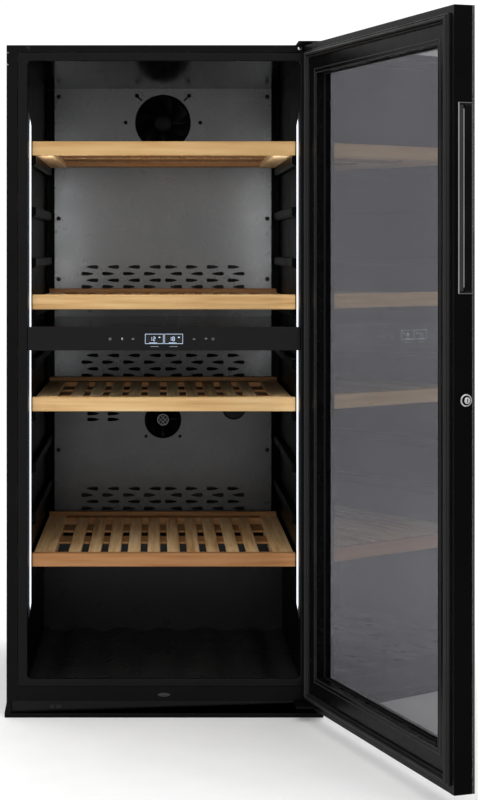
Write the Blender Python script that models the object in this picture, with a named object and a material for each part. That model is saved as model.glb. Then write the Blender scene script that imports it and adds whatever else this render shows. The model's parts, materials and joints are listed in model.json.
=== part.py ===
"""Upright two-zone wine cooler with a glass door, as separate named sub-parts.

Metres, +Z up. X = 0 is the middle of the cabinet. Y = 0 is the face of the cabinet's front flange,
with +Y towards its back. Z = 0 is the floor. The door stands open, as when the cooler is loaded.
"""

import math

import bmesh
import bpy
from mathutils import Vector

# Outside of the cabinet
WIDTH = 0.595
HEIGHT = 1.270
DEPTH = 0.665
HALF = WIDTH / 2
GAP = 0.0003
SHEET = 0.0008
RETURN = 0.0205
TOP_LIP = 0.013
FLANGE_LOW = 0.0582
BACK_INSET = 0.0030
CORNER_RADIUS = 0.008

# Base tray
BASE_TOP = 0.031
BASE_RIM = 0.009
BASE_FLARE = 0.0037
BASE_FRONT_FLARE = 0.003
KICK_HALF = 0.288
KICK_DEPTH = 0.0062
POCKET_TOP = 0.0270
POCKET_COUNT = 5
POCKET_SIZE = (0.100, 0.112)
POCKET_PITCH = (0.112, 0.126)

# Opening and inner liner
OPENING_HALF = 0.258
OPENING_TOP = 1.2407
OPENING_SILL = 0.072
FRAME_DEPTH = 0.010
LINER = 0.0018
LINER_FRONT = FRAME_DEPTH + GAP
LINER_BACK = 0.622
FLOOR_RIDGE = 0.066
FLOOR_DIP = 0.008
FLOOR_BOTTOM = 0.0555
CRADLE_PITCH = 0.087
CRADLE_COUNT = 6
STEP_FRONT = 0.497
STEP_TOP = 0.270
STEP_RADIUS = 0.016
LEDGE_REACH = 0.013
LEDGE_HEIGHT = 0.019
LEDGE_FRONT = 0.045
LEDGE_BACK = 0.575

# Shelves, top to bottom: the underside of each front rail and its height
SHELVES = ((1.0639, 0.0268), (0.7692, 0.0282), (0.5744, 0.0272), (0.2774, 0.0257))
UPPER_LEDGES = 4
LOWER_LEDGES = 5
SHELF_HALF = 0.2520
SHELF_FRONT = 0.040
SHELF_RAIL = 0.018
SHELF_BACK = 0.575
SIDE_RAIL = 0.040
RACK_HEIGHT = 0.020
BACK_RAIL = 0.040
SLAT_COUNT = 10
SLAT_PITCH = 0.0386
SLAT_WIDTH = 0.025
SLAT_THICK = 0.009
CROSS_RAIL = 0.030

# Zone divider and control fascia
FASCIA_LOW = 0.6932
FASCIA_HIGH = 0.7376
FASCIA_FACE = -0.0010
FASCIA_BACK = 0.017
DIVIDER_LOW = 0.6965
DIVIDER_HIGH = 0.7345
DISPLAY_HALF = 0.0366
DISPLAY_LOW = 0.7043
DISPLAY_HIGH = 0.7258

# Light strips
STRIP_LOW = 0.183
STRIP_HIGH = 1.146
STRIP_FRONT = 0.002
STRIP_BACK = 0.030
STRIP_INNER = 0.2532
STRIP_TAPER = 0.026

# Duct panels and fans
PANEL_FRONT = 0.585
PANEL_SHEET = 0.001
PANEL_HALF = 0.240
FAN_UPPER = (1.165, 0.062)
FAN_LOWER = (0.506, 0.041)
FAN_DEPTH = 0.020
FAN_BLADES = 7
CAP_CENTRE = (0.157, 0.534)
CAP_RADIUS = 0.027

# Machine compartment
MACHINE_FRONT = 0.534
MACHINE_TOP = 0.232
COMPRESSOR = (0.150, 0.598)
COMPRESSOR_RADIUS = 0.056
CONDENSER_FAN = (-0.128, 0.600, 0.130)

# Door, given as when it is shut
DOOR_LOW = 0.031
DOOR_HIGH = 1.267
DOOR_INNER = -0.010
DOOR_FRAME_OUTER = -0.042
DOOR_OUTER = -0.0463
GLASS = 0.0037
DOOR_OPENING_HALF = 0.2425
DOOR_OPENING_LOW = 0.091
DOOR_OPENING_HIGH = 1.210
GLASS_RECESS = 0.0175
REBATE = 0.0081
GASKET_INSET = 0.012
GASKET_WIDTH = 0.014
PIVOT = (0.2855, -0.029)
PIN_RADIUS = 0.004
PIN_DEPTH = 0.022
OPEN_ANGLE = 108.3

# Grip insert and lock, on the door's free edge
GRIP_LOW = 0.813
GRIP_HIGH = 1.116
GRIP_NEAR = 0.007
GRIP_FAR = 0.030
GRIP_DEPTH = 0.025
LOCK_HEIGHT = 0.648
LOCK_INSET = 0.0205
LOCK_RADIUS = 0.010
LOCK_DEPTH = 0.024

RIGHT = 1
LEFT = -1


def clear_scene():
    """Take every object out of the scene."""
    for obj in list(bpy.data.objects):
        bpy.data.objects.remove(obj, do_unlink=True)


def material(name, colour, roughness, metallic=0.0, alpha=1.0):
    """A Principled material."""
    made = bpy.data.materials.new(name)
    made.use_nodes = True
    shader = made.node_tree.nodes["Principled BSDF"]
    shader.inputs["Base Color"].default_value = (*colour, 1.0)
    shader.inputs["Roughness"].default_value = roughness
    shader.inputs["Metallic"].default_value = metallic
    shader.inputs["Alpha"].default_value = alpha
    return made


def add(name, bm, centre, finish=None):
    """An object whose origin is at centre, from a mesh given in world coordinates."""
    bmesh.ops.translate(bm, verts=bm.verts, vec=-Vector(centre))
    bmesh.ops.recalc_face_normals(bm, faces=bm.faces)
    mesh = bpy.data.meshes.new(name)
    bm.to_mesh(mesh)
    bm.free()
    obj = bpy.data.objects.new(name, mesh)
    obj.location = centre
    bpy.context.scene.collection.objects.link(obj)
    if finish:
        mesh.materials.append(finish)
    return obj


def box(name, low, high, finish=None, centre=None):
    """A box between two corners."""
    bm = bmesh.new()
    bmesh.ops.create_cube(bm, size=1.0)
    size = Vector(high) - Vector(low)
    middle = (Vector(high) + Vector(low)) / 2
    bmesh.ops.scale(bm, verts=bm.verts, vec=size)
    bmesh.ops.translate(bm, verts=bm.verts, vec=middle)
    return add(name, bm, centre or middle, finish)


def loft(name, sections, finish=None, centre=None):
    """A closed solid through loops of points that all have the same count."""
    bm = bmesh.new()
    loops = [[bm.verts.new(point) for point in section] for section in sections]
    count = len(sections[0])
    for near, far in zip(loops, loops[1:]):
        for i in range(count):
            j = (i + 1) % count
            bm.faces.new((near[i], near[j], far[j], far[i]))
    ends = [bm.faces.new(loops[0]), bm.faces.new(reversed(loops[-1]))]
    bm.normal_update()
    bmesh.ops.triangulate(bm, faces=[face for face in ends if len(face.verts) > 4])
    points = [vert.co for vert in bm.verts]
    middle = sum(points, Vector()) / len(points)
    return add(name, bm, centre or middle, finish)


def prism(name, outline, axis, low, high, finish=None, centre=None):
    """An outline pushed along an axis. Its points are given on the other two axes, in X, Y, Z order."""
    order = {"X": 0, "Y": 1, "Z": 2}[axis]
    sections = []
    for level in (low, high):
        section = [list(point) for point in outline]
        for point in section:
            point.insert(order, level)
        sections.append(section)
    return loft(name, sections, finish, centre)


def circle(radius, count, centre=(0.0, 0.0)):
    """Points round a circle."""
    turns = [2 * math.pi * (i + 0.5) / count for i in range(count)]
    return [(centre[0] + radius * math.cos(a), centre[1] + radius * math.sin(a)) for a in turns]


def rounded_rectangle(low, high, radius, steps=4):
    """Points round a rectangle with round corners, anticlockwise from the lower right."""
    points = []
    corners = (
        (high[0] - radius, low[1] + radius, -90),
        (high[0] - radius, high[1] - radius, 0),
        (low[0] + radius, high[1] - radius, 90),
        (low[0] + radius, low[1] + radius, 180),
    )
    for x, y, start in corners:
        for i in range(steps + 1):
            angle = math.radians(start + 90 * i / steps)
            points.append((x + radius * math.cos(angle), y + radius * math.sin(angle)))
    return points


def turned(name, profile, centre, finish=None, count=24, axis="Z"):
    """A solid of revolution. The profile lists (radius, distance along the axis from the centre)."""
    sections = []
    for radius, along in profile:
        section = []
        for a, b in circle(radius, count):
            offset = {"X": (along, a, b), "Y": (a, along, b), "Z": (a, b, along)}[axis]
            section.append(tuple(c + o for c, o in zip(centre, offset)))
        sections.append(section)
    return loft(name, sections, finish, centre)


def shape(obj, joined=(), cut=()):
    """Join solids to an object and cut others from it, then remove them."""
    for operation, tools in (("UNION", joined), ("DIFFERENCE", cut)):
        for tool in tools:
            modifier = obj.modifiers.new(operation, "BOOLEAN")
            modifier.operation = operation
            modifier.solver = "EXACT"
            modifier.object = tool
    graph = bpy.context.evaluated_depsgraph_get()
    graph.update()
    finished = bpy.data.meshes.new_from_object(obj.evaluated_get(graph))
    rough = obj.data
    name = rough.name
    obj.modifiers.clear()
    obj.data = finished
    bpy.data.meshes.remove(rough)
    finished.name = name
    for tool in (*joined, *cut):
        bpy.data.objects.remove(tool, do_unlink=True)
    return obj


def soften(obj, width, segments=1, angle=50):
    """Round an object's sharp edges."""
    modifier = obj.modifiers.new("edges", "BEVEL")
    modifier.width = width
    modifier.segments = segments
    modifier.limit_method = "ANGLE"
    modifier.angle_limit = math.radians(angle)
    return obj


def smooth(obj, angle=35):
    """Shade the round faces smooth."""
    obj.data.shade_smooth()
    obj.data.set_sharp_from_angle(angle=math.radians(angle))
    return obj


def make_finishes():
    """Every finish, by name."""
    return {
        "black_sheet": material("black_sheet", (0.012, 0.012, 0.013), 0.45, 0.3),
        "black_plastic": material("black_plastic", (0.010, 0.010, 0.011), 0.40),
        "liner_plastic": material("liner_plastic", (0.009, 0.009, 0.010), 0.35),
        "foam": material("foam", (0.75, 0.68, 0.45), 0.9),
        "grey_panel": material("grey_panel", (0.23, 0.23, 0.24), 0.40, 0.8),
        "galvanised": material("galvanised", (0.45, 0.46, 0.48), 0.45, 0.8),
        "fins": material("fins", (0.62, 0.63, 0.65), 0.35, 0.9),
        "wood": material("wood", (0.74, 0.52, 0.28), 0.55),
        "light": material("light", (0.95, 0.97, 1.0), 0.5),
        "board": material("board", (0.03, 0.12, 0.05), 0.6),
        "screen": material("screen", (0.02, 0.02, 0.025), 0.1),
        "dark_rubber": material("dark_rubber", (0.02, 0.02, 0.02), 0.8),
        "glass": material("glass", (0.75, 0.78, 0.80), 0.05, 0.0, 0.35),
        "chrome": material("chrome", (0.80, 0.80, 0.82), 0.12, 1.0),
    }


def make_base(finish):
    """The ribbed base tray with its flared rim, the kick strip, the cross rail and the feet."""
    rim = ((HALF + BASE_FLARE, -BASE_FRONT_FLARE), (-HALF - BASE_FLARE, DEPTH + BASE_FRONT_FLARE))
    seat = ((HALF, 0.0), (-HALF, DEPTH))

    def corners(pair, height):
        (x0, y0), (x1, y1) = pair
        return [(x0, y0, height), (x0, y1, height), (x1, y1, height), (x1, y0, height)]

    sections = [corners(rim, 0.0), corners(rim, BASE_RIM), corners(seat, BASE_TOP - 0.003)]
    sections.append(corners(seat, BASE_TOP))
    tray = loft("base_frame", sections, finish["black_plastic"])
    kick_low = (-KICK_HALF, -0.02, BASE_RIM + GAP)
    cutters = [box("kick_space", kick_low, (KICK_HALF, KICK_DEPTH, BASE_TOP + 0.01))]
    first_y = DEPTH / 2 - POCKET_PITCH[1] * (POCKET_COUNT - 1) / 2
    first_x = -POCKET_PITCH[0] * (POCKET_COUNT - 1) / 2
    for row in range(POCKET_COUNT):
        for column in range(POCKET_COUNT):
            x = first_x + POCKET_PITCH[0] * column
            y = first_y + POCKET_PITCH[1] * row
            low = (x - POCKET_SIZE[0] / 2, y - POCKET_SIZE[1] / 2, -0.01)
            high = (x + POCKET_SIZE[0] / 2, y + POCKET_SIZE[1] / 2, POCKET_TOP)
            cutters.append(box("pocket", low, high))
    shape(tray, cut=cutters)

    low = (-KICK_HALF + 0.0005, KICK_DEPTH - 0.0020, BASE_RIM + 2 * GAP)
    high = (KICK_HALF - 0.0005, KICK_DEPTH - GAP, BASE_TOP - 0.0005)
    box("kick_plate", low, high, finish["black_plastic"])
    low = (-HALF + RETURN + GAP, 0.0, BASE_TOP + GAP)
    high = (HALF - RETURN - GAP, FRAME_DEPTH, FLANGE_LOW)
    rail = box("bottom_cross_rail", low, high, finish["black_sheet"])
    soften(rail, 0.0008)

    profile = [(0.013, 0.0), (0.016, 0.002), (0.016, 0.006), (0.005, 0.008), (0.005, POCKET_TOP - GAP)]
    for depth_name, row in (("front", 0), ("rear", POCKET_COUNT - 1)):
        for side_name, column in (("left", 0), ("right", POCKET_COUNT - 1)):
            centre = (first_x + POCKET_PITCH[0] * column, first_y + POCKET_PITCH[1] * row, 0.0)
            name = f"foot_{depth_name}_{side_name}"
            smooth(turned(name, profile, centre, finish["dark_rubber"], 20))


def make_shell(finish):
    """The painted sheets round the cabinet and the plastic frame round its opening."""
    sheet = finish["black_sheet"]
    for name, side in (("side_panel_left", LEFT), ("side_panel_right", RIGHT)):
        outline = [
            (side * HALF, 0.0),
            (side * HALF, DEPTH),
            (side * (HALF - SHEET), DEPTH),
            (side * (HALF - SHEET), SHEET),
            (side * (HALF - RETURN), SHEET),
            (side * (HALF - RETURN), 0.0),
        ]
        prism(name, outline, "Z", BASE_TOP + GAP, HEIGHT - SHEET - GAP, sheet)

    top = box("top_panel", (-HALF, 0.0, HEIGHT - SHEET), (HALF, DEPTH, HEIGHT), sheet)
    inset = HALF - RETURN - GAP
    lip = box("lip", (-inset, 0.0, HEIGHT - TOP_LIP), (inset, SHEET, HEIGHT - SHEET / 2))
    shape(top, joined=[lip])

    back_half = HALF - SHEET - GAP
    low = (-back_half, DEPTH - BACK_INSET, MACHINE_TOP + 0.0018)
    box("back_panel", low, (back_half, DEPTH - BACK_INSET + SHEET, HEIGHT - SHEET - GAP), sheet)

    low = (-inset, 0.0, FLANGE_LOW + GAP)
    frame = box("front_frame", low, (inset, FRAME_DEPTH, HEIGHT - TOP_LIP - GAP), finish["black_plastic"])
    hole = rounded_rectangle((-OPENING_HALF, OPENING_SILL), (OPENING_HALF, OPENING_TOP), CORNER_RADIUS)
    shape(frame, cut=[prism("hole", hole, "Y", -0.02, 0.03)])
    soften(frame, 0.0012, 1, 60)


def make_insulation(finish):
    """The foam between the sheets and the liner, with a room for the liner and one for the machine."""
    wall = HALF - SHEET - GAP
    low = (-wall, LINER_FRONT, BASE_TOP + GAP)
    foam = box("insulation", low, (wall, DEPTH - 0.0033, HEIGHT - SHEET - GAP), finish["foam"])
    room = OPENING_HALF + LINER + GAP
    upper_low = (-room, -0.01, STEP_TOP - LINER - GAP)
    upper = box("upper_room", upper_low, (room, LINER_BACK + LINER + GAP, OPENING_TOP + LINER + GAP))
    lower_high = (room, STEP_FRONT + LINER + GAP, STEP_TOP + 0.02)
    lower = box("lower_room", (-room, -0.01, FLOOR_BOTTOM - GAP), lower_high)
    machine = box("machine_room", (-0.4, MACHINE_FRONT, 0.0), (0.4, 0.8, MACHINE_TOP))
    centre = (STEP_FRONT + STEP_RADIUS, STEP_TOP - STEP_RADIUS)
    inside = STEP_RADIUS - LINER - 3 * GAP
    flat = inside * 0.1
    outline = [
        (centre[0] - inside - 0.002, centre[1] + flat),
        (centre[0] - inside, centre[1] + flat),
        (centre[0] - flat, centre[1] + inside),
        (centre[0] - flat, centre[1] + inside + 0.002),
        (centre[0] - inside - 0.002, centre[1] + inside + 0.002),
    ]
    corner = prism("corner", outline, "X", -room, room)
    shape(foam, cut=[upper, lower, machine, corner])


def ledge_tops():
    """Heights of the shelf ledges' top faces: an even ladder from the first shelf to the last of a zone."""
    zones = (
        (SHELVES[0][0], SHELVES[1][0], UPPER_LEDGES - 1),
        (SHELVES[3][0], SHELVES[2][0], LOWER_LEDGES - 2),
    )
    tops = []
    for first, last, steps in zones:
        pitch = (last - first) / steps
        tops += [first - GAP + pitch * i for i in range(steps + 1)]
    tops.append(tops[-1] + pitch)
    return tops


def make_liner(finish):
    """The moulded plastic liner: walls with ledges, ceiling, back, cradle floor and machine step."""
    plastic = finish["liner_plastic"]
    for name, side in (("liner_left", LEFT), ("liner_right", RIGHT)):
        outline = [
            (LINER_FRONT, FLOOR_BOTTOM),
            (STEP_FRONT + LINER, FLOOR_BOTTOM),
            (STEP_FRONT + LINER, STEP_TOP - LINER),
            (LINER_BACK + LINER, STEP_TOP - LINER),
            (LINER_BACK + LINER, OPENING_TOP + LINER),
            (LINER_FRONT, OPENING_TOP + LINER),
        ]
        levels = sorted((side * OPENING_HALF, side * (OPENING_HALF + LINER)))
        wall = prism(name, outline, "X", *levels, plastic)
        reach = side * (OPENING_HALF - LEDGE_REACH)
        root = side * (OPENING_HALF + LINER / 2)
        ledges = []
        for top in ledge_tops():
            outline = [
                (root, top),
                (reach + side * 0.002, top),
                (reach, top - 0.002),
                (reach, top - LEDGE_HEIGHT + 0.004),
                (reach + side * 0.004, top - LEDGE_HEIGHT),
                (root, top - LEDGE_HEIGHT),
            ]
            above_step = top - LEDGE_HEIGHT > STEP_TOP
            back = LEDGE_BACK if above_step else STEP_FRONT - 0.006
            ledges.append(prism("ledge", outline, "Y", LEDGE_FRONT, back))
        shape(wall, joined=ledges)

    inner = OPENING_HALF - GAP
    low = (-inner, LINER_FRONT, OPENING_TOP)
    box("liner_ceiling", low, (inner, LINER_BACK - GAP, OPENING_TOP + LINER), plastic)
    low = (-inner, LINER_BACK, STEP_TOP + GAP)
    box("liner_back", low, (inner, LINER_BACK + LINER, OPENING_TOP - GAP), plastic)

    steps = 10
    outline = [(-inner, FLOOR_BOTTOM), (inner, FLOOR_BOTTOM)]
    for i in range(CRADLE_COUNT * steps, -1, -1):
        x = (i / steps - CRADLE_COUNT / 2) * CRADLE_PITCH
        wave = 0.5 - 0.5 * math.cos(2 * math.pi * i / steps)
        x = max(-inner, min(inner, x))
        outline.append((x, FLOOR_RIDGE - FLOOR_DIP * wave ** 1.5))
    prism("liner_floor", outline, "Y", LINER_FRONT, STEP_FRONT - GAP, plastic)

    outline = [(STEP_FRONT, FLOOR_BOTTOM)]
    for i in range(5):
        angle = math.radians(180 - 90 * i / 4)
        y = STEP_FRONT + STEP_RADIUS + STEP_RADIUS * math.cos(angle)
        z = STEP_TOP - STEP_RADIUS + STEP_RADIUS * math.sin(angle)
        outline.append((y, z))
    outline.append((LINER_BACK + LINER, STEP_TOP))
    outline.append((LINER_BACK + LINER, STEP_TOP - LINER))
    inside = STEP_RADIUS - LINER
    for i in range(5):
        angle = math.radians(90 + 90 * i / 4)
        y = STEP_FRONT + STEP_RADIUS + inside * math.cos(angle)
        z = STEP_TOP - STEP_RADIUS + inside * math.sin(angle)
        outline.append((y, z))
    outline.append((STEP_FRONT + LINER, FLOOR_BOTTOM))
    prism("liner_step", outline, "X", -inner, inner, plastic)


def make_divider_and_controls(finish):
    """The insulated zone divider and the control fascia in front of it."""
    inner = OPENING_HALF - GAP
    narrow = SHELF_HALF + 0.0005
    low = (-inner, STRIP_BACK + 0.001, DIVIDER_LOW)
    divider = box("zone_divider", low, (inner, LINER_BACK - GAP, DIVIDER_HIGH), finish["liner_plastic"])
    nose_low = (-narrow, FASCIA_BACK + GAP, DIVIDER_LOW)
    shape(divider, joined=[box("nose", nose_low, (narrow, STRIP_BACK + 0.010, DIVIDER_HIGH))])

    face_back = STRIP_FRONT - GAP
    low = (-inner + 0.0002, FASCIA_FACE, FASCIA_LOW)
    fascia = box("control_fascia", low, (inner - 0.0002, face_back, FASCIA_HIGH), finish["black_plastic"])
    body = box("body", (-narrow, 0.0, FASCIA_LOW), (narrow, FASCIA_BACK, FASCIA_HIGH))
    wall = 0.0025
    hollow_low = (-narrow + wall, face_back + 0.0006, FASCIA_LOW + wall)
    hollow = box("hollow", hollow_low, (narrow - wall, 0.05, FASCIA_HIGH - wall))
    edge = DISPLAY_HALF + GAP
    window = box("window", (-edge, -0.01, DISPLAY_LOW - GAP), (edge, 0.01, DISPLAY_HIGH + GAP))
    shape(fascia, joined=[body], cut=[hollow, window])

    low = (-DISPLAY_HALF, FASCIA_FACE + 0.0001, DISPLAY_LOW)
    box("display_lens", low, (DISPLAY_HALF, face_back + 0.0004, DISPLAY_HIGH), finish["screen"])
    low = (-0.110, 0.0060, FASCIA_LOW + 0.006)
    box("control_board", low, (0.110, 0.0076, FASCIA_HIGH - 0.006), finish["board"])


def make_lights(finish):
    """The slanted light strips just inside the opening, tapered at both ends."""
    for name, side in (("led_strip_left", LEFT), ("led_strip_right", RIGHT)):
        root = side * (OPENING_HALF - GAP)
        reach = side * STRIP_INNER
        thin = root - side * 0.0006

        def section(height, front, inner, base=root, slim=thin):
            return [
                (base, front, height),
                (base, STRIP_BACK, height),
                (inner, STRIP_BACK, height),
                (slim, front, height),
            ]

        sections = [
            section(STRIP_LOW, STRIP_BACK - 0.010, thin),
            section(STRIP_LOW + STRIP_TAPER, STRIP_FRONT, reach),
            section(STRIP_HIGH - STRIP_TAPER, STRIP_FRONT, reach),
            section(STRIP_HIGH, STRIP_BACK - 0.010, thin),
        ]
        loft(name, sections, finish["light"])


def fan_frame(name, centre, radius, axis, finish):
    """A square fan housing with a round way through and a hub held by four struts at its back."""
    half = radius + 0.002
    bore = radius - 0.0015
    hub = radius * 0.33
    depth = FAN_DEPTH
    swap = {"Y": (0, 1, 2), "X": (1, 0, 2)}[axis]

    def place(point):
        return tuple(centre[k] + point[swap.index(k)] for k in range(3))

    def block(label, low, high):
        a = place(low)
        b = place(high)
        return box(label, [min(p) for p in zip(a, b)], [max(p) for p in zip(a, b)])

    housing = block(name, (-half, 0.0, -half), (half, depth, half))
    housing.data.materials.append(finish["black_plastic"])
    cutter = turned("bore", [(bore, -0.01), (bore, depth + 0.01)], centre, None, 32, axis)
    shape(housing, cut=[cutter])
    back = depth - 0.003
    struts = [turned("hub", [(hub, back), (hub, depth)], centre, None, 24, axis)]
    struts.append(block("strut", (-half + 0.001, back, -0.0025), (half - 0.001, depth, 0.0025)))
    struts.append(block("strut", (-0.0025, back, -half + 0.001), (0.0025, depth, half - 0.001)))
    return smooth(shape(housing, joined=struts))


def fan_rotor(name, centre, radius, axis, finish):
    """A hub with blades, as one outline pushed along the axis."""
    hub = radius * 0.34
    tip = radius - 0.0045
    outline = []
    for blade in range(FAN_BLADES):
        start = 2 * math.pi * blade / FAN_BLADES
        for reach, turn in ((hub, 0.0), (tip, 0.28), (tip, 0.60), (tip, 0.86), (hub, 0.42), (hub, 0.66)):
            angle = start + turn
            outline.append((reach * math.cos(angle), reach * math.sin(angle)))
    sections = []
    for along in (0.003, FAN_DEPTH - 0.0045):
        if axis == "Y":
            section = [(centre[0] + a, centre[1] + along, centre[2] + b) for a, b in outline]
        else:
            section = [(centre[0] + along, centre[1] + a, centre[2] + b) for a, b in outline]
        sections.append(section)
    return loft(name, sections, finish["black_plastic"], centre)


def finned_block(name, low, high, fins, finish):
    """A heat exchanger: a core plate with fins standing on its front, open along X."""
    root = high[1] - 0.35 * (high[1] - low[1])
    pitch = (high[2] - low[2]) / fins
    levels = []
    for i in range(fins):
        levels += [low[2] + pitch * i, low[2] + pitch * (i + 0.4)]
    levels[-1] = high[2]
    bm = bmesh.new()
    ends = []
    for x in (low[0], high[0]):
        ends.append([[bm.verts.new((x, y, z)) for y in (low[1], root, high[1])] for z in levels])
    near, far = ends
    last = len(levels) - 1
    for i in range(last):
        fin = i % 2 == 0
        for end, flip in ((near, 1), (far, -1)):
            for k in (0, 1) if fin else (1,):
                bm.faces.new((end[i][k], end[i][k + 1], end[i + 1][k + 1], end[i + 1][k])[::flip])
        front = 0 if fin else 1
        for k in (front, 2):
            bm.faces.new((near[i][k], near[i + 1][k], far[i + 1][k], far[i][k]))
    for i in range(last + 1):
        for k in (0, 1) if i in (0, last) else (0,):
            bm.faces.new((near[i][k], near[i][k + 1], far[i][k + 1], far[i][k]))
    middle = (Vector(low) + Vector(high)) / 2
    return add(name, bm, middle, finish["fins"])


def make_air_system(finish):
    """The duct panels, their fans, the evaporators behind them and the filter cap."""
    back = LINER_BACK - GAP
    inner = PANEL_HALF - PANEL_SHEET
    outline = [
        (-PANEL_HALF, PANEL_FRONT),
        (PANEL_HALF, PANEL_FRONT),
        (PANEL_HALF, back),
        (inner, back),
        (inner, PANEL_FRONT + PANEL_SHEET),
        (-inner, PANEL_FRONT + PANEL_SHEET),
        (-inner, back),
        (-PANEL_HALF, back),
    ]
    zones = (
        ("upper", FAN_UPPER, DIVIDER_HIGH + GAP, OPENING_TOP - GAP, 0.86),
        ("lower", FAN_LOWER, STEP_TOP + GAP, DIVIDER_LOW - GAP, 0.345),
    )
    for zone, (height, radius), low, high, coil_middle in zones:
        panel = prism(f"duct_panel_{zone}", outline, "Z", low, high, finish["grey_panel"])
        ends = [(radius, -0.01), (radius, 0.01)]
        cutters = [turned("hole", ends, (0.0, PANEL_FRONT, height), None, 32, "Y")]
        if zone == "lower":
            stem = CAP_RADIUS * 0.75
            ends = [(stem + GAP, -0.01), (stem + GAP, 0.01)]
            place = (CAP_CENTRE[0], PANEL_FRONT, CAP_CENTRE[1])
            cutters.append(turned("hole", ends, place, None, 24, "Y"))
            profile = [
                (CAP_RADIUS - 0.003, -0.0070),
                (CAP_RADIUS, -0.0040),
                (CAP_RADIUS, -GAP),
                (stem, -GAP),
                (stem, 0.014),
            ]
            smooth(turned("filter_cap", profile, place, finish["black_plastic"], 24, "Y"))
        shape(panel, cut=cutters)
        centre = (0.0, PANEL_FRONT + PANEL_SHEET + GAP, height)
        fan_frame(f"fan_frame_{zone}", centre, radius, "Y", finish)
        fan_rotor(f"fan_rotor_{zone}", centre, radius, "Y", finish)
        low = (-0.200, PANEL_FRONT + 0.010, coil_middle - 0.070)
        high = (0.200, LINER_BACK - 0.004, coil_middle + 0.070)
        finned_block(f"evaporator_{zone}", low, high, 16, finish)


def make_machine_room(finish):
    """The compressor, condenser and its fan, drip pan, vented cover and power inlet."""
    x, y = COMPRESSOR
    r = COMPRESSOR_RADIUS
    profile = [(r * 0.55, 0.006), (r * 0.9, 0.014), (r, 0.030), (r, 0.120), (r * 0.9, 0.146), (r * 0.5, 0.160)]
    can = turned("compressor", profile, (x, y, BASE_TOP), finish["black_sheet"], 28)
    plate_low = (x - 0.085, y - 0.055, BASE_TOP + GAP)
    plate = box("plate", plate_low, (x + 0.085, y + 0.055, BASE_TOP + 0.008))
    smooth(shape(can, joined=[plate]))

    low = (-0.278, 0.546, 0.048)
    finned_block("condenser", low, (-0.152, 0.654, 0.212), 14, finish)
    fan_frame("condenser_fan_frame", CONDENSER_FAN, 0.052, "X", finish)
    fan_rotor("condenser_fan_rotor", CONDENSER_FAN, 0.052, "X", finish)

    low = Vector((0.060, 0.545, 0.205))
    high = Vector((0.240, 0.652, 0.226))
    pan = box("drip_pan", low, high, finish["black_plastic"])
    wall = Vector((0.002, 0.002, 0.002))
    hollow = box("hollow", low + wall, high - wall + Vector((0.0, 0.0, 0.02)))
    shape(pan, cut=[hollow])

    face = DEPTH - BACK_INSET
    edge = HALF - SHEET - GAP
    top = MACHINE_TOP + 0.0015
    low = (-edge, face, BASE_TOP + GAP)
    cover = box("rear_cover", low, (edge, face + 0.0012, top), finish["black_sheet"])
    inlet = (0.235, 0.075)
    hole_low = (inlet[0] - 0.0145, 0.60, inlet[1] - 0.0107)
    slots = [box("inlet_hole", hole_low, (inlet[0] + 0.0145, 0.70, inlet[1] + 0.0107))]
    for middle in (-0.205, -0.060, 0.085):
        for row in range(10):
            z = 0.060 + 0.016 * row
            slots.append(box("slot", (middle - 0.052, 0.60, z), (middle + 0.052, 0.70, z + 0.006)))
    shape(cover, cut=slots)

    low = (inlet[0] - 0.0140, 0.640, inlet[1] - 0.0102)
    high = (inlet[0] + 0.0140, face + 0.0020, inlet[1] + 0.0102)
    body = box("power_inlet", low, high, finish["black_plastic"])
    flange_low = (inlet[0] - 0.024, face + 0.0015, inlet[1] - 0.014)
    flange = box("flange", flange_low, (inlet[0] + 0.024, DEPTH, inlet[1] + 0.014))
    socket_low = (inlet[0] - 0.0122, 0.646, inlet[1] - 0.0084)
    socket = box("socket", socket_low, (inlet[0] + 0.0122, 0.70, inlet[1] + 0.0084))
    shape(body, joined=[flange], cut=[socket])


def rack_mesh():
    """The slatted rack behind a shelf's front rail, about the middle of its top face."""
    front = SHELF_FRONT + SHELF_RAIL + GAP
    bottom = -RACK_HEIGHT
    rail_inner = SHELF_HALF - SIDE_RAIL
    rack = box("rack", (-SHELF_HALF, front, bottom), (-rail_inner, SHELF_BACK, 0.0), None, (0, 0, 0))
    pieces = [box("side", (rail_inner, front, bottom), (SHELF_HALF, SHELF_BACK, 0.0))]
    lap = 0.004
    back_low = (-rail_inner - lap, SHELF_BACK - BACK_RAIL, bottom + 0.001)
    pieces.append(box("back", back_low, (rail_inner + lap, SHELF_BACK - 0.0005, -0.0004)))
    for y in (front + 0.0006, 0.300):
        high = (rail_inner + lap, y + CROSS_RAIL, -SLAT_THICK + 0.001)
        pieces.append(box("cross", (-rail_inner - lap, y, bottom + 0.001), high))
    for i in range(SLAT_COUNT):
        x = SLAT_PITCH * (i - (SLAT_COUNT - 1) / 2)
        low = (x - SLAT_WIDTH / 2, front + 0.0003, -SLAT_THICK)
        pieces.append(box("slat", low, (x + SLAT_WIDTH / 2, SHELF_BACK - BACK_RAIL + lap, -0.0008)))
    shape(rack, joined=pieces)
    mesh = rack.data
    bpy.data.objects.remove(rack, do_unlink=True)
    return mesh


def make_shelves(finish):
    """Four wooden shelves, each a front rail and a slatted rack."""
    mesh = rack_mesh()
    mesh.materials.append(finish["wood"])
    for number, (bottom, height) in enumerate(SHELVES, 1):
        top = bottom + height
        low = (-SHELF_HALF, SHELF_FRONT, bottom)
        high = (SHELF_HALF, SHELF_FRONT + SHELF_RAIL, top)
        rail = box(f"shelf_{number}_front", low, high, finish["wood"])
        soften(rail, 0.0015, 2)
        rack = bpy.data.objects.new(f"shelf_{number}_rack", mesh)
        rack.location = (0.0, 0.0, bottom + RACK_HEIGHT + 0.0001)
        bpy.context.scene.collection.objects.link(rack)


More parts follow.
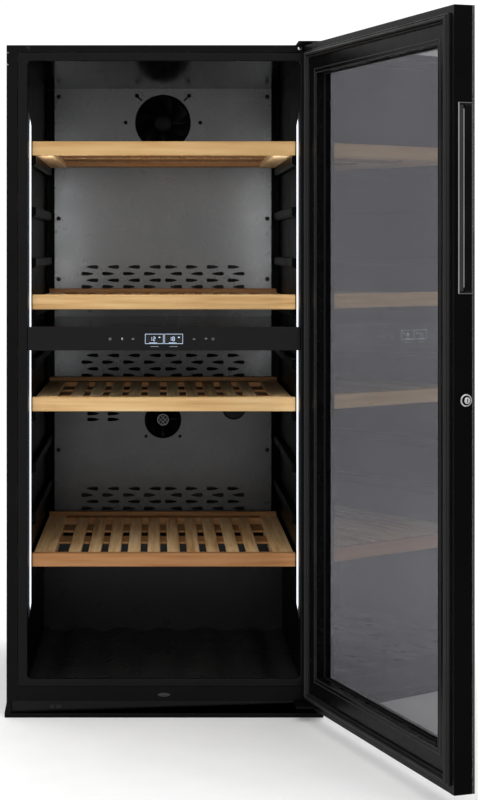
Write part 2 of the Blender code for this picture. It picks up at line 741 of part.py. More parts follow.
def make_door(finish):
    """The door and all it carries, built shut and then turned open about its hinge pins."""
    plastic = finish["black_plastic"]
    frame_low = (-HALF, DOOR_FRAME_OUTER, DOOR_LOW)
    frame = box("door_frame", frame_low, (HALF, DOOR_INNER, DOOR_HIGH), plastic)
    pane_front = DOOR_INNER - GLASS_RECESS
    view_low = (-DOOR_OPENING_HALF, -0.2, DOOR_OPENING_LOW)
    view = box("view", view_low, (DOOR_OPENING_HALF, 0.2, DOOR_OPENING_HIGH))
    rebate_low = (-DOOR_OPENING_HALF - REBATE, -0.2, DOOR_OPENING_LOW - REBATE)
    rebate_high = (DOOR_OPENING_HALF + REBATE, pane_front, DOOR_OPENING_HIGH + REBATE)
    rebate = box("rebate", rebate_low, rebate_high)
    grip_low = (-HALF - 0.01, DOOR_INNER - GRIP_FAR, GRIP_LOW)
    grip_high = (-HALF + GRIP_DEPTH, DOOR_INNER - GRIP_NEAR, GRIP_HIGH)
    pocket = box("pocket", grip_low, grip_high)
    lock_centre = (-HALF, DOOR_INNER - LOCK_INSET, LOCK_HEIGHT)
    lock_bore = LOCK_RADIUS - 0.0015
    ends = [(lock_bore, -0.01), (lock_bore, LOCK_DEPTH)]
    cutters = [view, rebate, pocket, turned("bore", ends, lock_centre, None, 24, "X")]
    for end, outward in ((DOOR_LOW, -1), (DOOR_HIGH, 1)):
        centre = (*PIVOT, end)
        span = sorted((outward * 0.01, -outward * (PIN_DEPTH + 0.002)))
        bore = PIN_RADIUS + 0.0005
        cutters.append(turned("pin_bore", [(bore, span[0]), (bore, span[1])], centre, None, 24))
    shape(frame, cut=cutters)

    outer_low = (-HALF, DOOR_OUTER, DOOR_LOW)
    outer = box("glass_outer", outer_low, (HALF, DOOR_FRAME_OUTER - GAP, DOOR_HIGH), finish["glass"])
    pane = REBATE - 0.0004
    pane_low = (-DOOR_OPENING_HALF - pane, pane_front - GAP - GLASS, DOOR_OPENING_LOW - pane)
    pane_high = (DOOR_OPENING_HALF + pane, pane_front - GAP, DOOR_OPENING_HIGH + pane)
    inner = box("glass_inner", pane_low, pane_high, finish["glass"])

    spacer_low = (pane_low[0], DOOR_FRAME_OUTER, pane_low[2])
    spacer_high = (pane_high[0], pane_low[1] - GAP, pane_high[2])
    spacer = box("glazing_spacer", spacer_low, spacer_high, finish["dark_rubber"])
    edge = 0.0008
    hole_low = (-DOOR_OPENING_HALF - edge, -0.2, DOOR_OPENING_LOW - edge)
    hole_high = (DOOR_OPENING_HALF + edge, 0.2, DOOR_OPENING_HIGH + edge)
    shape(spacer, cut=[box("hole", hole_low, hole_high)])

    inset = GASKET_INSET
    seal_low = (-HALF + inset, DOOR_INNER + GAP, DOOR_LOW + inset)
    seal = box("door_gasket", seal_low, (HALF - inset, -GAP, DOOR_HIGH - inset), finish["dark_rubber"])
    inset = GASKET_INSET + GASKET_WIDTH
    hole_low = (-HALF + inset, -0.2, DOOR_LOW + inset)
    shape(seal, cut=[box("hole", hole_low, (HALF - inset, 0.2, DOOR_HIGH - inset))])
    soften(seal, 0.0020, 1)

    grip = make_grip(finish)
    escutcheon, barrel = make_lock(lock_centre, lock_bore, finish)

    pivot = bpy.data.objects.new("door_pivot", None)
    pivot.location = (*PIVOT, 0.0)
    bpy.context.scene.collection.objects.link(pivot)
    for piece in (frame, outer, inner, spacer, seal, grip, escutcheon, barrel):
        piece.location -= pivot.location
        piece.parent = pivot
    pivot.rotation_euler.z = math.radians(OPEN_ANGLE)


def make_grip(finish):
    """The recessed grip: a rim on the door's edge, a shallow face and a deep finger channel."""
    near = DOOR_INNER - GRIP_NEAR - GAP
    far = DOOR_INNER - GRIP_FAR + GAP
    bottom = GRIP_LOW + GAP
    top = GRIP_HIGH - GAP
    rim = 0.0012
    grip_low = (-HALF - rim, far, bottom)
    grip = box("handle_grip", grip_low, (-HALF + GRIP_DEPTH - GAP, near, top), finish["black_plastic"])
    shallow_low = (-HALF - 0.01, near - 0.0100, bottom + 0.004)
    shallow = box("shallow", shallow_low, (-HALF + 0.004, near - 0.0020, top - 0.004))
    channel_low = (-HALF - 0.01, far + 0.0020, bottom + 0.010)
    channel = box("channel", channel_low, (-HALF + 0.021, near - 0.0125, top - 0.010))
    return shape(grip, cut=[shallow, channel])


def make_lock(centre, bore, finish):
    """The lock's escutcheon in the door's edge, and the barrel that turns in it."""
    barrel_radius = bore * 0.62
    profile = [
        (LOCK_RADIUS - 0.0008, -0.0020),
        (LOCK_RADIUS, -0.0012),
        (LOCK_RADIUS, -GAP),
        (bore - GAP, -GAP),
        (bore - GAP, LOCK_DEPTH - 0.002),
    ]
    ring = turned("lock_escutcheon", profile, centre, finish["chrome"], 28, "X")
    ends = [(barrel_radius + 0.0004, -0.01), (barrel_radius + 0.0004, LOCK_DEPTH - 0.006)]
    shape(ring, cut=[turned("way", ends, centre, None, 28, "X")])
    smooth(ring)
    profile = [
        (barrel_radius - 0.0010, -0.0060),
        (barrel_radius, -0.0050),
        (barrel_radius, LOCK_DEPTH - 0.0066),
    ]
    barrel = smooth(turned("lock_barrel", profile, centre, finish["chrome"], 28, "X"))
    keyway_low = (centre[0] - 0.01, centre[1] - 0.0007, centre[2] - 0.0034)
    keyway = box("keyway", keyway_low, (centre[0] - 0.002, centre[1] + 0.0007, centre[2] + 0.0034))
    return ring, shape(barrel, cut=[keyway])


def make_hinges(finish):
    """The fixed hinge plates above and below the door, each with its pin and a tab on the cabinet."""
    steel = finish["black_sheet"]
    reach = -0.0420
    low = HEIGHT + GAP
    top = box("hinge_top", (0.2505, reach, low), (HALF, 0.045, low + 0.003), steel)
    tab = box("tab", (0.2505, -0.0028, DOOR_HIGH - 0.0100), (0.2615, -GAP, low + 0.002))
    profile = [(PIN_RADIUS, -PIN_DEPTH), (PIN_RADIUS, 0.004)]
    pin = turned("pin", profile, (*PIVOT, DOOR_HIGH), None, 24)
    shape(top, joined=[tab, pin])

    high = DOOR_LOW - 0.0008
    bottom = box("hinge_bottom", (0.2460, reach, high - 0.0034), (HALF, -0.0012, high), steel)
    foot = box("foot", (0.2460, -0.0020, high - 0.0034), (0.2870, KICK_DEPTH - 0.0023, high))
    tab = box("tab", (0.2460, 0.0010, BASE_RIM + 0.003), (0.2870, KICK_DEPTH - 0.0023, high - 0.001))
    profile = [(PIN_RADIUS, -0.002), (PIN_RADIUS, PIN_DEPTH)]
    pin = turned("pin", profile, (*PIVOT, DOOR_LOW), None, 24)
    shape(bottom, joined=[foot, tab, pin])


def main():
    clear_scene()
    finish = make_finishes()
    make_base(finish)
    make_shell(finish)
    make_insulation(finish)
    make_liner(finish)
    make_divider_and_controls(finish)
    make_lights(finish)
    make_air_system(finish)
    make_machine_room(finish)
    make_shelves(finish)
    make_door(finish)
    make_hinges(finish)


main()
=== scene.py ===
import json
import math

import bmesh
import bpy
from mathutils import Matrix, Vector

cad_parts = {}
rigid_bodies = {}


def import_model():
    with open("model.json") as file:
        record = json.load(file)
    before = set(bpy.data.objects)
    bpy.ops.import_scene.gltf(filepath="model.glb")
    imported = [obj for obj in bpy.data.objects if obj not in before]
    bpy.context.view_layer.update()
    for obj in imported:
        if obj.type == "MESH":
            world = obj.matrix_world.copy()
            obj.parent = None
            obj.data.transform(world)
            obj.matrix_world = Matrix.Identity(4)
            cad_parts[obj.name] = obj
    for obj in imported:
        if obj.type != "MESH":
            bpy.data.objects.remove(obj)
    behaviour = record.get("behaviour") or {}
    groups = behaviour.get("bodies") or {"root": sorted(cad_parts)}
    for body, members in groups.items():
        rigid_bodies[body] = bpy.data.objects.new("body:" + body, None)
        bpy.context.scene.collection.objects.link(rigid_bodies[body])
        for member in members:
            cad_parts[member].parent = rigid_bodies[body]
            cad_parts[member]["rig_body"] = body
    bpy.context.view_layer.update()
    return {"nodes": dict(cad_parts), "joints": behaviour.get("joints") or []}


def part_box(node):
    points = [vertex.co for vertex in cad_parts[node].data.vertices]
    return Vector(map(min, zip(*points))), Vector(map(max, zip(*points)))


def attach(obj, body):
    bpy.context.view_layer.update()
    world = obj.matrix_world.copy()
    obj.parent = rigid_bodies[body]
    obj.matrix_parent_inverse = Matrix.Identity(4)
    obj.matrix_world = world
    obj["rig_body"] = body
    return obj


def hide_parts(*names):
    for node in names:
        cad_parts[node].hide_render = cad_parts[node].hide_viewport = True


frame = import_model()
NODES = frame["nodes"]
HINGE = next(j for j in frame["joints"] if j["name"] == "door_hinge")
PIVOT = Vector(HINGE["pos_m"])
OPEN_ANGLE = math.radians(-HINGE["range_deg"][0])
DOOR = (
    Matrix.Translation(PIVOT)
    @ Matrix.Rotation(OPEN_ANGLE, 4, "Z")
    @ Matrix.Translation(-PIVOT)
)

# Camera, in metres; the lens is for a 36 mm sensor
CAMERA_PLACE = (-0.0132, -3.38, 0.8848)
CAMERA_LENS = 80.5
CAMERA_SHIFT = (0.1025, -0.18875)

# Door, as when it is shut; the opening is its half width, its foot and its top
DOOR_HALF = 0.2975
DOOR_INNER = -0.0100
DOOR_LOW = 0.031
DOOR_HIGH = 1.267
OPENING = (0.2425, 0.091, 1.210)
PANE_FACE = DOOR_INNER - 0.0178
GASKET_INSET = 0.012
EDGE_SHADE_SKIN = 0.0008

# Lock in the door's free edge: X of its faces, Y and Z of its centre, the radii of the ring of painted shadow
# round the barrel and the half sizes of the key slot's painted shade
LOCK_FACE = -0.2995
BARREL_FACE = -0.3036
LOCK_CENTRE = (-0.0305, 0.6480)
LOCK_SHADOW_RADII = (0.0056, 0.0078)
KEY_SLOT = (0.0006, 0.0025)

# Grip in the door's free edge: X of its face, Z limits, and the Y limits of its parts; the lines are painted
# highlights, the lip is painted light and the hollow is painted shade
GRIP_FACE = -DOOR_HALF - 0.0012
GRIP_PROUD = 0.0009
GRIP_LIMITS = (0.8145, 1.1145)
GRIP_END = 0.0014
NEAR_HIGHLIGHT = (-0.0183, -0.0165)
FAR_HIGHLIGHT = (-0.0415, -0.0402)
END_HIGHLIGHTS = (-0.0408, -0.0172)
LIP_HIGHLIGHT = (-0.0268, -0.0255)
GRIP_LIP = (-0.0256, -0.0188)
GRIP_HOLLOW = (-0.0394, -0.0272)

# Places on the cabinet
HINGE_SCREW = (0.2560, -0.0028, 1.2640)
FRONT_PLUG = (-0.2560, 0.0, 1.2640)
EDGE_SCREWS = ((-0.2950, 0.0, 1.2559), (-0.2950, 0.0, 1.2332))
EMBLEM_PLACE = (0.0, 0.0, 0.0425)
EMBLEM_SQUEEZE = 0.30
CLIP_HEIGHT = (0.0160, 0.0235)
CLIP_COLUMNS = ((-0.2150, 0.008), (-0.2040, 0.010))
WALL_DIMPLE_PLACE = (0.2580, 0.545)
WALL_DIMPLE_ROWS = (1.013, 0.915, 0.818, 0.524, 0.425)
BEAD_RADIUS = 0.0012

# Shelves
SLAT_COUNT = 10
SLAT_PITCH = 0.0386
SLAT_WIDTH = 0.025
SLAT_THICK = 0.009
SIDE_RAIL = 0.040
RAIL_OVERLAP = 0.002
RAIL_DROP = 0.0058
RAIL_THICK = 0.0048
CROSS_RAILS = ((0.0589, 0.030), (0.245, 0.075), (0.390, 0.085))
STOP_DEEP = 0.012
STOP_RISE = 0.0085

# Perforations of the duct panels
HOLE_LENGTH = 0.026
HOLE_RADIUS = 0.0041
HOLE_PITCH = 0.0462
HOLE_STARTS = (0.0174, 0.0294)
UPPER_ROWS = (0.845, 0.830, 0.8155, 0.801)
LOWER_ROWS = (0.649, 0.634, 0.619, 0.605)
FOOT_ROWS = (0.354, 0.3395, 0.325, 0.310)
ODD_ROWS = (0.520, 0.507)
ODD_COLUMNS = (0.155, 0.110)
PANEL_SCREW_X = 0.231
PANEL_SCREWS = {"upper": (0.0050, (1.222, 0.952, 0.818)), "lower": (0.0046, (0.684, 0.440, 0.290))}

# Fan blades; the angles are in radians
BLADE_COUNT = 7
BLADE_STEPS = 7
BLADE_SWEEP = 0.35
BLADE_SPAN = 0.62
BLADE_HALF = 0.0004

# Printed and lit marks
PRINT_RISE = 0.0003
PRINT_ROUND = 0.0001
KEY_RISE = 0.0002
KEY_SIZE = 0.0024


def tone(red, green, blue):
    """A screen colour from 0 to 255 as linear light."""
    values = [c / 255 for c in (red, green, blue)]
    linear = [c / 12.92 if c <= 0.04045 else ((c + 0.055) / 1.055) ** 2.4 for c in values]
    return (*linear, 1.0)


# ---------------------------------------------------------------- materials


def new_node(tree, kind, **values):
    """A shader node whose properties and inputs are set by name."""
    node = tree.nodes.new(kind)
    for key, value in values.items():
        if hasattr(node, key):
            setattr(node, key, value)
        else:
            node.inputs[key.replace("_", " ")].default_value = value
    return node


def blank(name):
    """A new material with its tree, its shader and object coordinates."""
    material = bpy.data.materials.new(name)
    material.use_nodes = True
    tree = material.node_tree
    shader = tree.nodes["Principled BSDF"]
    place = new_node(tree, "ShaderNodeTexCoord")
    return material, tree, shader, place.outputs["Object"]


def noise(tree, vector, scale, detail=3.0, stretch=(1.0, 1.0, 1.0)):
    """Noise over a place that may be stretched along an axis."""
    mapping = new_node(tree, "ShaderNodeMapping")
    mapping.inputs["Scale"].default_value = stretch
    tree.links.new(vector, mapping.inputs["Vector"])
    cloud = new_node(tree, "ShaderNodeTexNoise", Scale=scale, Detail=detail)
    tree.links.new(mapping.outputs["Vector"], cloud.inputs["Vector"])
    return cloud.outputs["Fac"]


def ramp(tree, value, stops):
    """A colour ramp through (place, colour) stops."""
    node = new_node(tree, "ShaderNodeValToRGB")
    elements = node.color_ramp.elements
    elements[0].position, elements[0].color = stops[0]
    elements[1].position, elements[1].color = stops[-1]
    for place, colour in stops[1:-1]:
        element = elements.new(place)
        element.color = colour
    tree.links.new(value, node.inputs["Fac"])
    return node.outputs["Color"]


def span(tree, value, low, high):
    """A value from about 0.3 to 0.7 mapped to low and high."""
    node = new_node(tree, "ShaderNodeMapRange")
    node.inputs["From Min"].default_value = 0.3
    node.inputs["From Max"].default_value = 0.7
    node.inputs["To Min"].default_value = low
    node.inputs["To Max"].default_value = high
    tree.links.new(value, node.inputs["Value"])
    return node.outputs["Result"]


def add_bump(tree, shader, height, strength, distance):
    """Lets a height shape the shader's normal."""
    bump = new_node(tree, "ShaderNodeBump", Strength=strength, Distance=distance)
    tree.links.new(height, bump.inputs["Height"])
    tree.links.new(bump.outputs["Normal"], shader.inputs["Normal"])


def surface(name, dark, light, rough, grain, depth, specular, metallic=0.0):
    """A coated or moulded surface: cloudy colour, uneven gloss and a fine grain."""
    material, tree, shader, place = blank(name)
    shader.inputs["Metallic"].default_value = metallic
    shader.inputs["Specular IOR Level"].default_value = specular
    cloud = noise(tree, place, 9.0, 4.0)
    colour = ramp(tree, cloud, ((0.3, tone(*dark)), (0.7, tone(*light))))
    tree.links.new(colour, shader.inputs["Base Color"])
    smear = noise(tree, place, 22.0, 5.0)
    tree.links.new(span(tree, smear, *rough), shader.inputs["Roughness"])
    add_bump(tree, shader, noise(tree, place, grain, 2.0), 0.12, depth)
    return material


BEECH = (
    (0.34, (168, 122, 74)),
    (0.44, (196, 154, 100)),
    (0.55, (212, 174, 120)),
    (0.68, (224, 190, 140)),
)


def wood(name, along, tint):
    """Beech with its grain along one axis; the tint scales its red, green and blue."""
    material, tree, shader, place = blank(name)
    shader.inputs["Specular IOR Level"].default_value = 0.25
    stretch = {"X": (0.05, 1.0, 1.0), "Y": (1.0, 0.05, 1.0)}[along]
    streak = noise(tree, place, 130.0, 6.0, stretch)
    broad = noise(tree, place, 16.0, 3.0, stretch)
    mix = new_node(tree, "ShaderNodeMath", operation="ADD")
    half = new_node(tree, "ShaderNodeMath", operation="MULTIPLY")
    half.inputs[1].default_value = 0.5
    tree.links.new(streak, mix.inputs[0])
    tree.links.new(broad, mix.inputs[1])
    tree.links.new(mix.outputs[0], half.inputs[0])
    stops = [(stop, tone(*[min(c * t, 255) for c, t in zip(colour, tint)])) for stop, colour in BEECH]
    tree.links.new(ramp(tree, half.outputs[0], stops), shader.inputs["Base Color"])
    tree.links.new(span(tree, streak, 0.62, 0.42), shader.inputs["Roughness"])
    add_bump(tree, shader, streak, 0.3, 0.0002)
    return material


def lamp(name, colour, strength, cells=220.0):
    """A lit surface, very slightly uneven along its length."""
    material, tree, shader, place = blank(name)
    uneven = noise(tree, place, cells, 1.0)
    pale = ramp(tree, uneven, ((0.3, tone(*[c * 0.94 for c in colour])), (0.7, tone(*colour))))
    tree.links.new(pale, shader.inputs["Base Color"])
    tree.links.new(pale, shader.inputs["Emission Color"])
    tree.links.new(span(tree, uneven, 0.30, 0.38), shader.inputs["Roughness"])
    shader.inputs["Emission Strength"].default_value = strength
    return material


def strip_light(name, colour, strength):
    """A diffuser that is bright along its inner edge and fades towards the wall it is fixed to."""
    material, tree, shader, place = blank(name)
    apart = new_node(tree, "ShaderNodeSeparateXYZ")
    tree.links.new(place, apart.inputs["Vector"])
    out = new_node(tree, "ShaderNodeMath", operation="ABSOLUTE")
    tree.links.new(apart.outputs["X"], out.inputs[0])
    low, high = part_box("led_strip_right")
    fade = new_node(tree, "ShaderNodeMapRange")
    fade.inputs["From Min"].default_value = high.x
    fade.inputs["From Max"].default_value = low.x
    tree.links.new(out.outputs[0], fade.inputs["Value"])
    stops = ((0.0, tone(8, 8, 9)), (0.55, tone(36, 38, 42)), (0.72, tone(*colour)), (1.0, tone(*colour)))
    glow = ramp(tree, fade.outputs["Result"], stops)
    tree.links.new(glow, shader.inputs["Emission Color"])
    tree.links.new(glow, shader.inputs["Base Color"])
    shader.inputs["Emission Strength"].default_value = strength
    tree.links.new(span(tree, noise(tree, place, 300.0, 1.0), 0.3, 0.4), shader.inputs["Roughness"])
    return material


def tinted_glass(name, dark, light):
    """Grey solar glass, with a faint unevenness in its tint."""
    material, tree, shader, place = blank(name)
    shader.inputs["Transmission Weight"].default_value = 1.0
    shader.inputs["IOR"].default_value = 1.5
    shader.inputs["Roughness"].default_value = 0.0
    cloud = noise(tree, place, 3.0, 1.0)
    tree.links.new(ramp(tree, cloud, ((0.3, tone(*dark)), (0.7, tone(*light)))), shader.inputs["Base Color"])
    return material


SHEET = surface("painted_sheet", (7, 7, 8), (11, 11, 12), (0.38, 0.44), 1500.0, 0.00003, 0.06)
FRAME = surface("satin_plastic", (8, 8, 9), (12, 12, 13), (0.26, 0.36), 1800.0, 0.00002, 0.10)
DOOR_LOOK = surface("door_plastic", (5, 5, 6), (8, 8, 9), (0.24, 0.30), 1800.0, 0.00002, 0.07)
LINER = surface("liner_plastic_look", (3, 3, 3), (5, 5, 5), (0.28, 0.34), 300.0, 0.00002, 0.02)
# Painted light: the liner's floor and step are its dark plastic made much lighter
CRADLE_LIT = surface("cradle_plastic_painted_light", (27, 27, 27), (32, 32, 32), (0.26, 0.32), 300.0, 0.00001, 0.16)
DIVIDER = surface("divider_plastic", (7, 7, 7), (9, 9, 9), (0.08, 0.10), 300.0, 0.000005, 0.40)
CEILING = surface("ceiling_plastic", (5, 5, 5), (7, 7, 7), (0.12, 0.15), 300.0, 0.00001, 0.03)
FASCIA = surface("fascia_plastic", (8, 8, 9), (12, 12, 13), (0.20, 0.30), 1600.0, 0.00002, 0.14)
GASKET = surface("gasket_rubber", (14, 14, 15), (22, 22, 23), (0.40, 0.55), 1200.0, 0.00004, 0.25)
RUBBER = surface("dark_rubber_look", (9, 9, 10), (16, 16, 17), (0.6, 0.8), 700.0, 0.00006, 0.15)
PANEL = surface("grey_sheet", (98, 99, 100), (106, 106, 106), (0.26, 0.30), 1300.0, 0.00001, 0.4, 0.35)
STEEL = surface("bright_steel", (176, 176, 178), (206, 206, 208), (0.16, 0.30), 1200.0, 0.00002, 0.5, 1.0)
# Painted shade: the lower duct panel is the same grey sheet made darker
PANEL_SHADED = surface("grey_sheet_painted_shade", (66, 67, 68), (72, 72, 72), (0.26, 0.30), 1300.0, 0.00001, 0.4, 0.35)
# Painted highlights: light greys for the grip's lines on the black door plastic
RIDGE_HIGHLIGHT = surface("grip_painted_highlight", (118, 118, 120), (136, 136, 138), (0.22, 0.32), 900.0, 0.00001, 0.3)
RIDGE_DIM_HIGHLIGHT = surface("grip_painted_dim_highlight", (66, 66, 68), (80, 80, 82), (0.22, 0.32), 900.0, 0.00001, 0.2)
# Painted shade: a darker, duller copy of the door plastic for the door's free edge
EDGE_SHADE = surface("door_edge_painted_shade", (3, 3, 4), (5, 5, 6), (0.30, 0.38), 1800.0, 0.00001, 0.02)
# Painted highlight: a light grey for lips, beads and edges that catch light on dark plastic
HIGHLIGHT_GREY = surface("seal_lip_painted_highlight", (34, 34, 35), (46, 46, 47), (0.30, 0.42), 900.0, 0.00001, 0.3)
DARK_STEEL = surface("dark_screw", (26, 26, 27), (40, 40, 42), (0.25, 0.40), 1200.0, 0.00002, 0.5, 0.8)
CHROME = surface("chrome_plate", (150, 151, 154), (178, 178, 180), (0.10, 0.18), 600.0, 0.000005, 0.5, 1.0)
# Painted shade: the fins' aluminium is made dark, as it stands in shadow behind the panels
FINS_IN_SHADE = surface("aluminium_fins_painted_shade", (22, 23, 24), (32, 33, 34), (0.40, 0.60), 900.0, 0.00004, 0.2, 0.5)
FOAM = surface("foam_block", (196, 178, 130), (224, 206, 160), (0.7, 0.9), 400.0, 0.0004, 0.1)
BOARD = surface("board_laminate", (24, 70, 44), (32, 92, 58), (0.35, 0.5), 500.0, 0.00005, 0.4)
SCREEN = surface("screen_glass", (5, 5, 6), (8, 8, 9), (0.05, 0.10), 300.0, 0.000002, 0.3)
# Painted shade: a near black put where slots, recesses, gaps and hollows stand in shade
PAINTED_SHADE = surface("shadow_plastic", (4, 4, 4), (7, 7, 7), (0.7, 0.9), 600.0, 0.00004, 0.05)
FAN = surface("fan_plastic", (6, 6, 7), (10, 10, 11), (0.34, 0.46), 900.0, 0.00003, 0.10)
LIGHT = strip_light("strip_diffuser", (240, 246, 255), 1.6)
DIGIT = lamp("display_digit", (196, 214, 240), 1.1)
ICON = lamp("key_mark", (150, 156, 166), 0.10)
GLASS = tinted_glass("tinted_pane", (165, 165, 168), (171, 171, 174))
FLOOR = surface("pale_floor", (250, 250, 250), (254, 254, 254), (0.8, 0.9), 60.0, 0.0001, 0.0)
GRAIN_X = wood("beech_across", "X", (1.0, 1.0, 1.0))
# Painted shade: a darker copy of the beech for the lowest shelf, which gets less light
GRAIN_LOW_SHADE = wood("beech_low_painted_shade", "X", (0.78, 0.68, 0.62))
GRAIN_PALE = wood("beech_pale", "Y", (1.08, 1.12, 1.22))
# Painted shade: a darker copy of the beech for the racks' rails and back stop, which stand in shadow
GRAIN_SHADED = wood("beech_painted_shade", "X", (0.74, 0.65, 0.57))
GRAIN_TOP = wood("beech_top", "X", (0.90, 0.88, 0.84))

LOOKS = (
    (("side_panel", "top_panel", "back_panel", "rear_cover", "bottom_cross", "hinge", "base"), SHEET),
    (("door_frame", "handle"), DOOR_LOOK),
    (("front_frame", "power", "condenser_fan_frame", "filter", "drip", "compressor"), FRAME),
    (("liner_ceiling",), CEILING),
    (("liner_floor", "liner_step"), CRADLE_LIT),
    (("liner",), LINER),
    (("zone",), DIVIDER),
    (("control_fascia", "kick"), FASCIA),
    (("control_board",), BOARD),
    (("door_gasket",), GASKET),
    (("foot", "glazing"), RUBBER),
    (("duct_panel_upper",), PANEL),
    (("duct",), PANEL_SHADED),
    (("lock",), CHROME),
    (("evaporator", "condenser"), FINS_IN_SHADE),
    (("insulation",), FOAM),
    (("display",), SCREEN),
    (("fan",), FAN),
    (("led",), LIGHT),
    (("glass",), GLASS),
    (("shelf_1",), GRAIN_TOP),
    (("shelf_4",), GRAIN_LOW_SHADE),
    (("shelf",), GRAIN_X),
)


def paint_nodes():
    """Gives every CAD node its finish."""
    for name, node in NODES.items():
        look = next(m for starts, m in LOOKS if name.startswith(starts))
        node.data.materials.clear()
        node.data.materials.append(look)


# ---------------------------------------------------------------- building


def piece(name, bm, looks, body, smooth=40.0, transform=None):
    """Turns a bmesh in the row frame into a named piece that rides on a body."""
    mesh = bpy.data.meshes.new(name)
    bmesh.ops.recalc_face_normals(bm, faces=bm.faces)
    bm.to_mesh(mesh)
    bm.free()
    if "custom_normal" in mesh.attributes:
        mesh.attributes.remove(mesh.attributes["custom_normal"])
    for look in looks if isinstance(looks, (list, tuple)) else [looks]:
        mesh.materials.append(look)
    if transform:
        mesh.transform(transform)
    obj = bpy.data.objects.new(name, mesh)
    bpy.context.scene.collection.objects.link(obj)
    if smooth:
        mesh.shade_smooth()
        mesh.set_sharp_from_angle(angle=math.radians(smooth))
        weighted = obj.modifiers.new("weighted", "WEIGHTED_NORMAL")
        weighted.keep_sharp = True
    else:
        mesh.shade_flat()
    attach(obj, body)
    return obj


def refined(name, width, smooth=50.0, segments=2):
    """A CAD node's own shape with its sharp edges rounded."""
    node = NODES[name]
    bm = bmesh.new()
    bm.from_mesh(node.data)
    bmesh.ops.remove_doubles(bm, verts=bm.verts, dist=0.00001)
    bmesh.ops.dissolve_limit(bm, angle_limit=math.radians(0.5), verts=bm.verts, edges=bm.edges)
    sharp = [e for e in bm.edges if len(e.link_faces) == 2 and e.calc_face_angle(0.0) > math.radians(40)]
    rounding = {"segments": segments, "profile": 0.5, "affect": "EDGES"}
    bmesh.ops.bevel(bm, geom=sharp, offset=width, clamp_overlap=True, **rounding)
    made = piece(f"{name}_body", bm, node.data.materials[0], node["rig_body"], smooth)
    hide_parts(name)
    return made


def add_block(bm, low, high, radius=0.0, segments=2, look=0):
    """A block with rounded edges."""
    low, high = Vector(low), Vector(high)
    made = bmesh.ops.create_cube(bm, size=1.0)
    verts = made["verts"]
    middle, size = (low + high) / 2, high - low
    for vert in verts:
        vert.co = Vector(c * s for c, s in zip(vert.co, size)) + middle
    faces = {f for v in verts for f in v.link_faces}
    if radius:
        edges = list({e for v in verts for e in v.link_edges})
        rounding = {"segments": segments, "profile": 0.5, "affect": "EDGES"}
        done = bmesh.ops.bevel(bm, geom=edges, offset=min(radius, min(size) * 0.49), **rounding)
        faces = {f for v in done["verts"] for f in v.link_faces}
    for face in faces:
        face.material_index = look


def axis_frame(centre, axis):
    """A matrix that takes +Z to an axis, at a centre."""
    turn = Vector(axis).normalized().to_track_quat("Z", "Y").to_matrix().to_4x4()
    return Matrix.Translation(centre) @ turn


def add_turned(bm, profile, centre, axis, count=28, look=0):
    """A profile of (radius, height) turned round an axis; ends on the axis close it."""
    place = axis_frame(centre, axis)
    around = [2 * math.pi * i / count for i in range(count)]
    rings = []
    for radius, height in profile:
        if radius < 1e-6:
            rings.append([bm.verts.new(place @ Vector((0, 0, height)))])
            continue
        points = [Vector((radius * math.cos(a), radius * math.sin(a), height)) for a in around]
        rings.append([bm.verts.new(place @ point) for point in points])
    for near, far in zip(rings, rings[1:]):
        for i in range(count):
            j = (i + 1) % count
            corners = [near[i % len(near)], near[j % len(near)], far[j % len(far)], far[i % len(far)]]
            unique = list(dict.fromkeys(corners))
            if len(unique) > 2:
                bm.faces.new(unique).material_index = look


def add_prism(bm, outline, low, high, place, look=0):
    """A flat outline pushed from low to high along the place's Z."""
    rings = [[bm.verts.new(place @ Vector((x, y, z))) for x, y in outline] for z in (low, high)]
    count = len(outline)
    for i in range(count):
        j = (i + 1) % count
        bm.faces.new((rings[0][i], rings[0][j], rings[1][j], rings[1][i])).material_index = look
    for ring in rings:
        bm.faces.new(ring).material_index = look


# A screw head's shares of its radius, and their heights
SCREW_HEAD = ((1.0, 0.0), (1.0, 0.0006), (0.82, 0.0012), (0.45, 0.00155), (0.0, 0.0016))


def bar(x, y, half, thick):
    """A flat bar's outline, by its centre and half sizes."""
    return [(x - half, y - thick), (x + half, y - thick), (x + half, y + thick), (x - half, y + thick)]


def add_screw(bm, centre, axis, radius):
    """A domed screw head; its cross recess is a raised dark cross of painted shade."""
    add_turned(bm, [(radius * share, height) for share, height in SCREW_HEAD], centre, axis, 20)
    place = axis_frame(centre, axis)
    arm, half = radius * 0.55, radius * 0.12
    for outline in (bar(0.0, 0.0, arm, half), bar(0.0, 0.0, half, arm)):
        add_prism(bm, outline, 0.0008, 0.00166, place, 1)


def screws(name, centres, axis, radius, body, looks=None):
    """A group of alike screws as one piece."""
    bm = bmesh.new()
    for centre in centres:
        add_screw(bm, centre, axis, radius)
    return piece(name, bm, looks or [STEEL, PAINTED_SHADE], body, 35.0)


def add_ring(bm, profile, half, low, high):
    """A mitred rectangle ring: the profile's points are (inset from the rectangle, Y)."""
    loops = []
    for inset, y in profile:
        x, a, b = half - inset, low + inset, high - inset
        loops.append([bm.verts.new(c) for c in ((-x, y, a), (x, y, a), (x, y, b), (-x, y, b))])
    count = len(loops)
    for i in range(count):
        near, far = loops[i], loops[(i + 1) % count]
        for k in range(4):
            m = (k + 1) % 4
            bm.faces.new((near[k], near[m], far[m], far[k]))


def hump(start, end, base, rise, steps=8):
    """Points of a rounded rib from start to end, standing rise above base."""
    points = []
    for i in range(steps + 1):
        angle = math.pi * i / steps
        inset = (start + end) / 2 - (end - start) / 2 * math.cos(angle)
        points.append((inset, base + rise * math.sin(angle)))
    return points


# ---------------------------------------------------------------- shelves


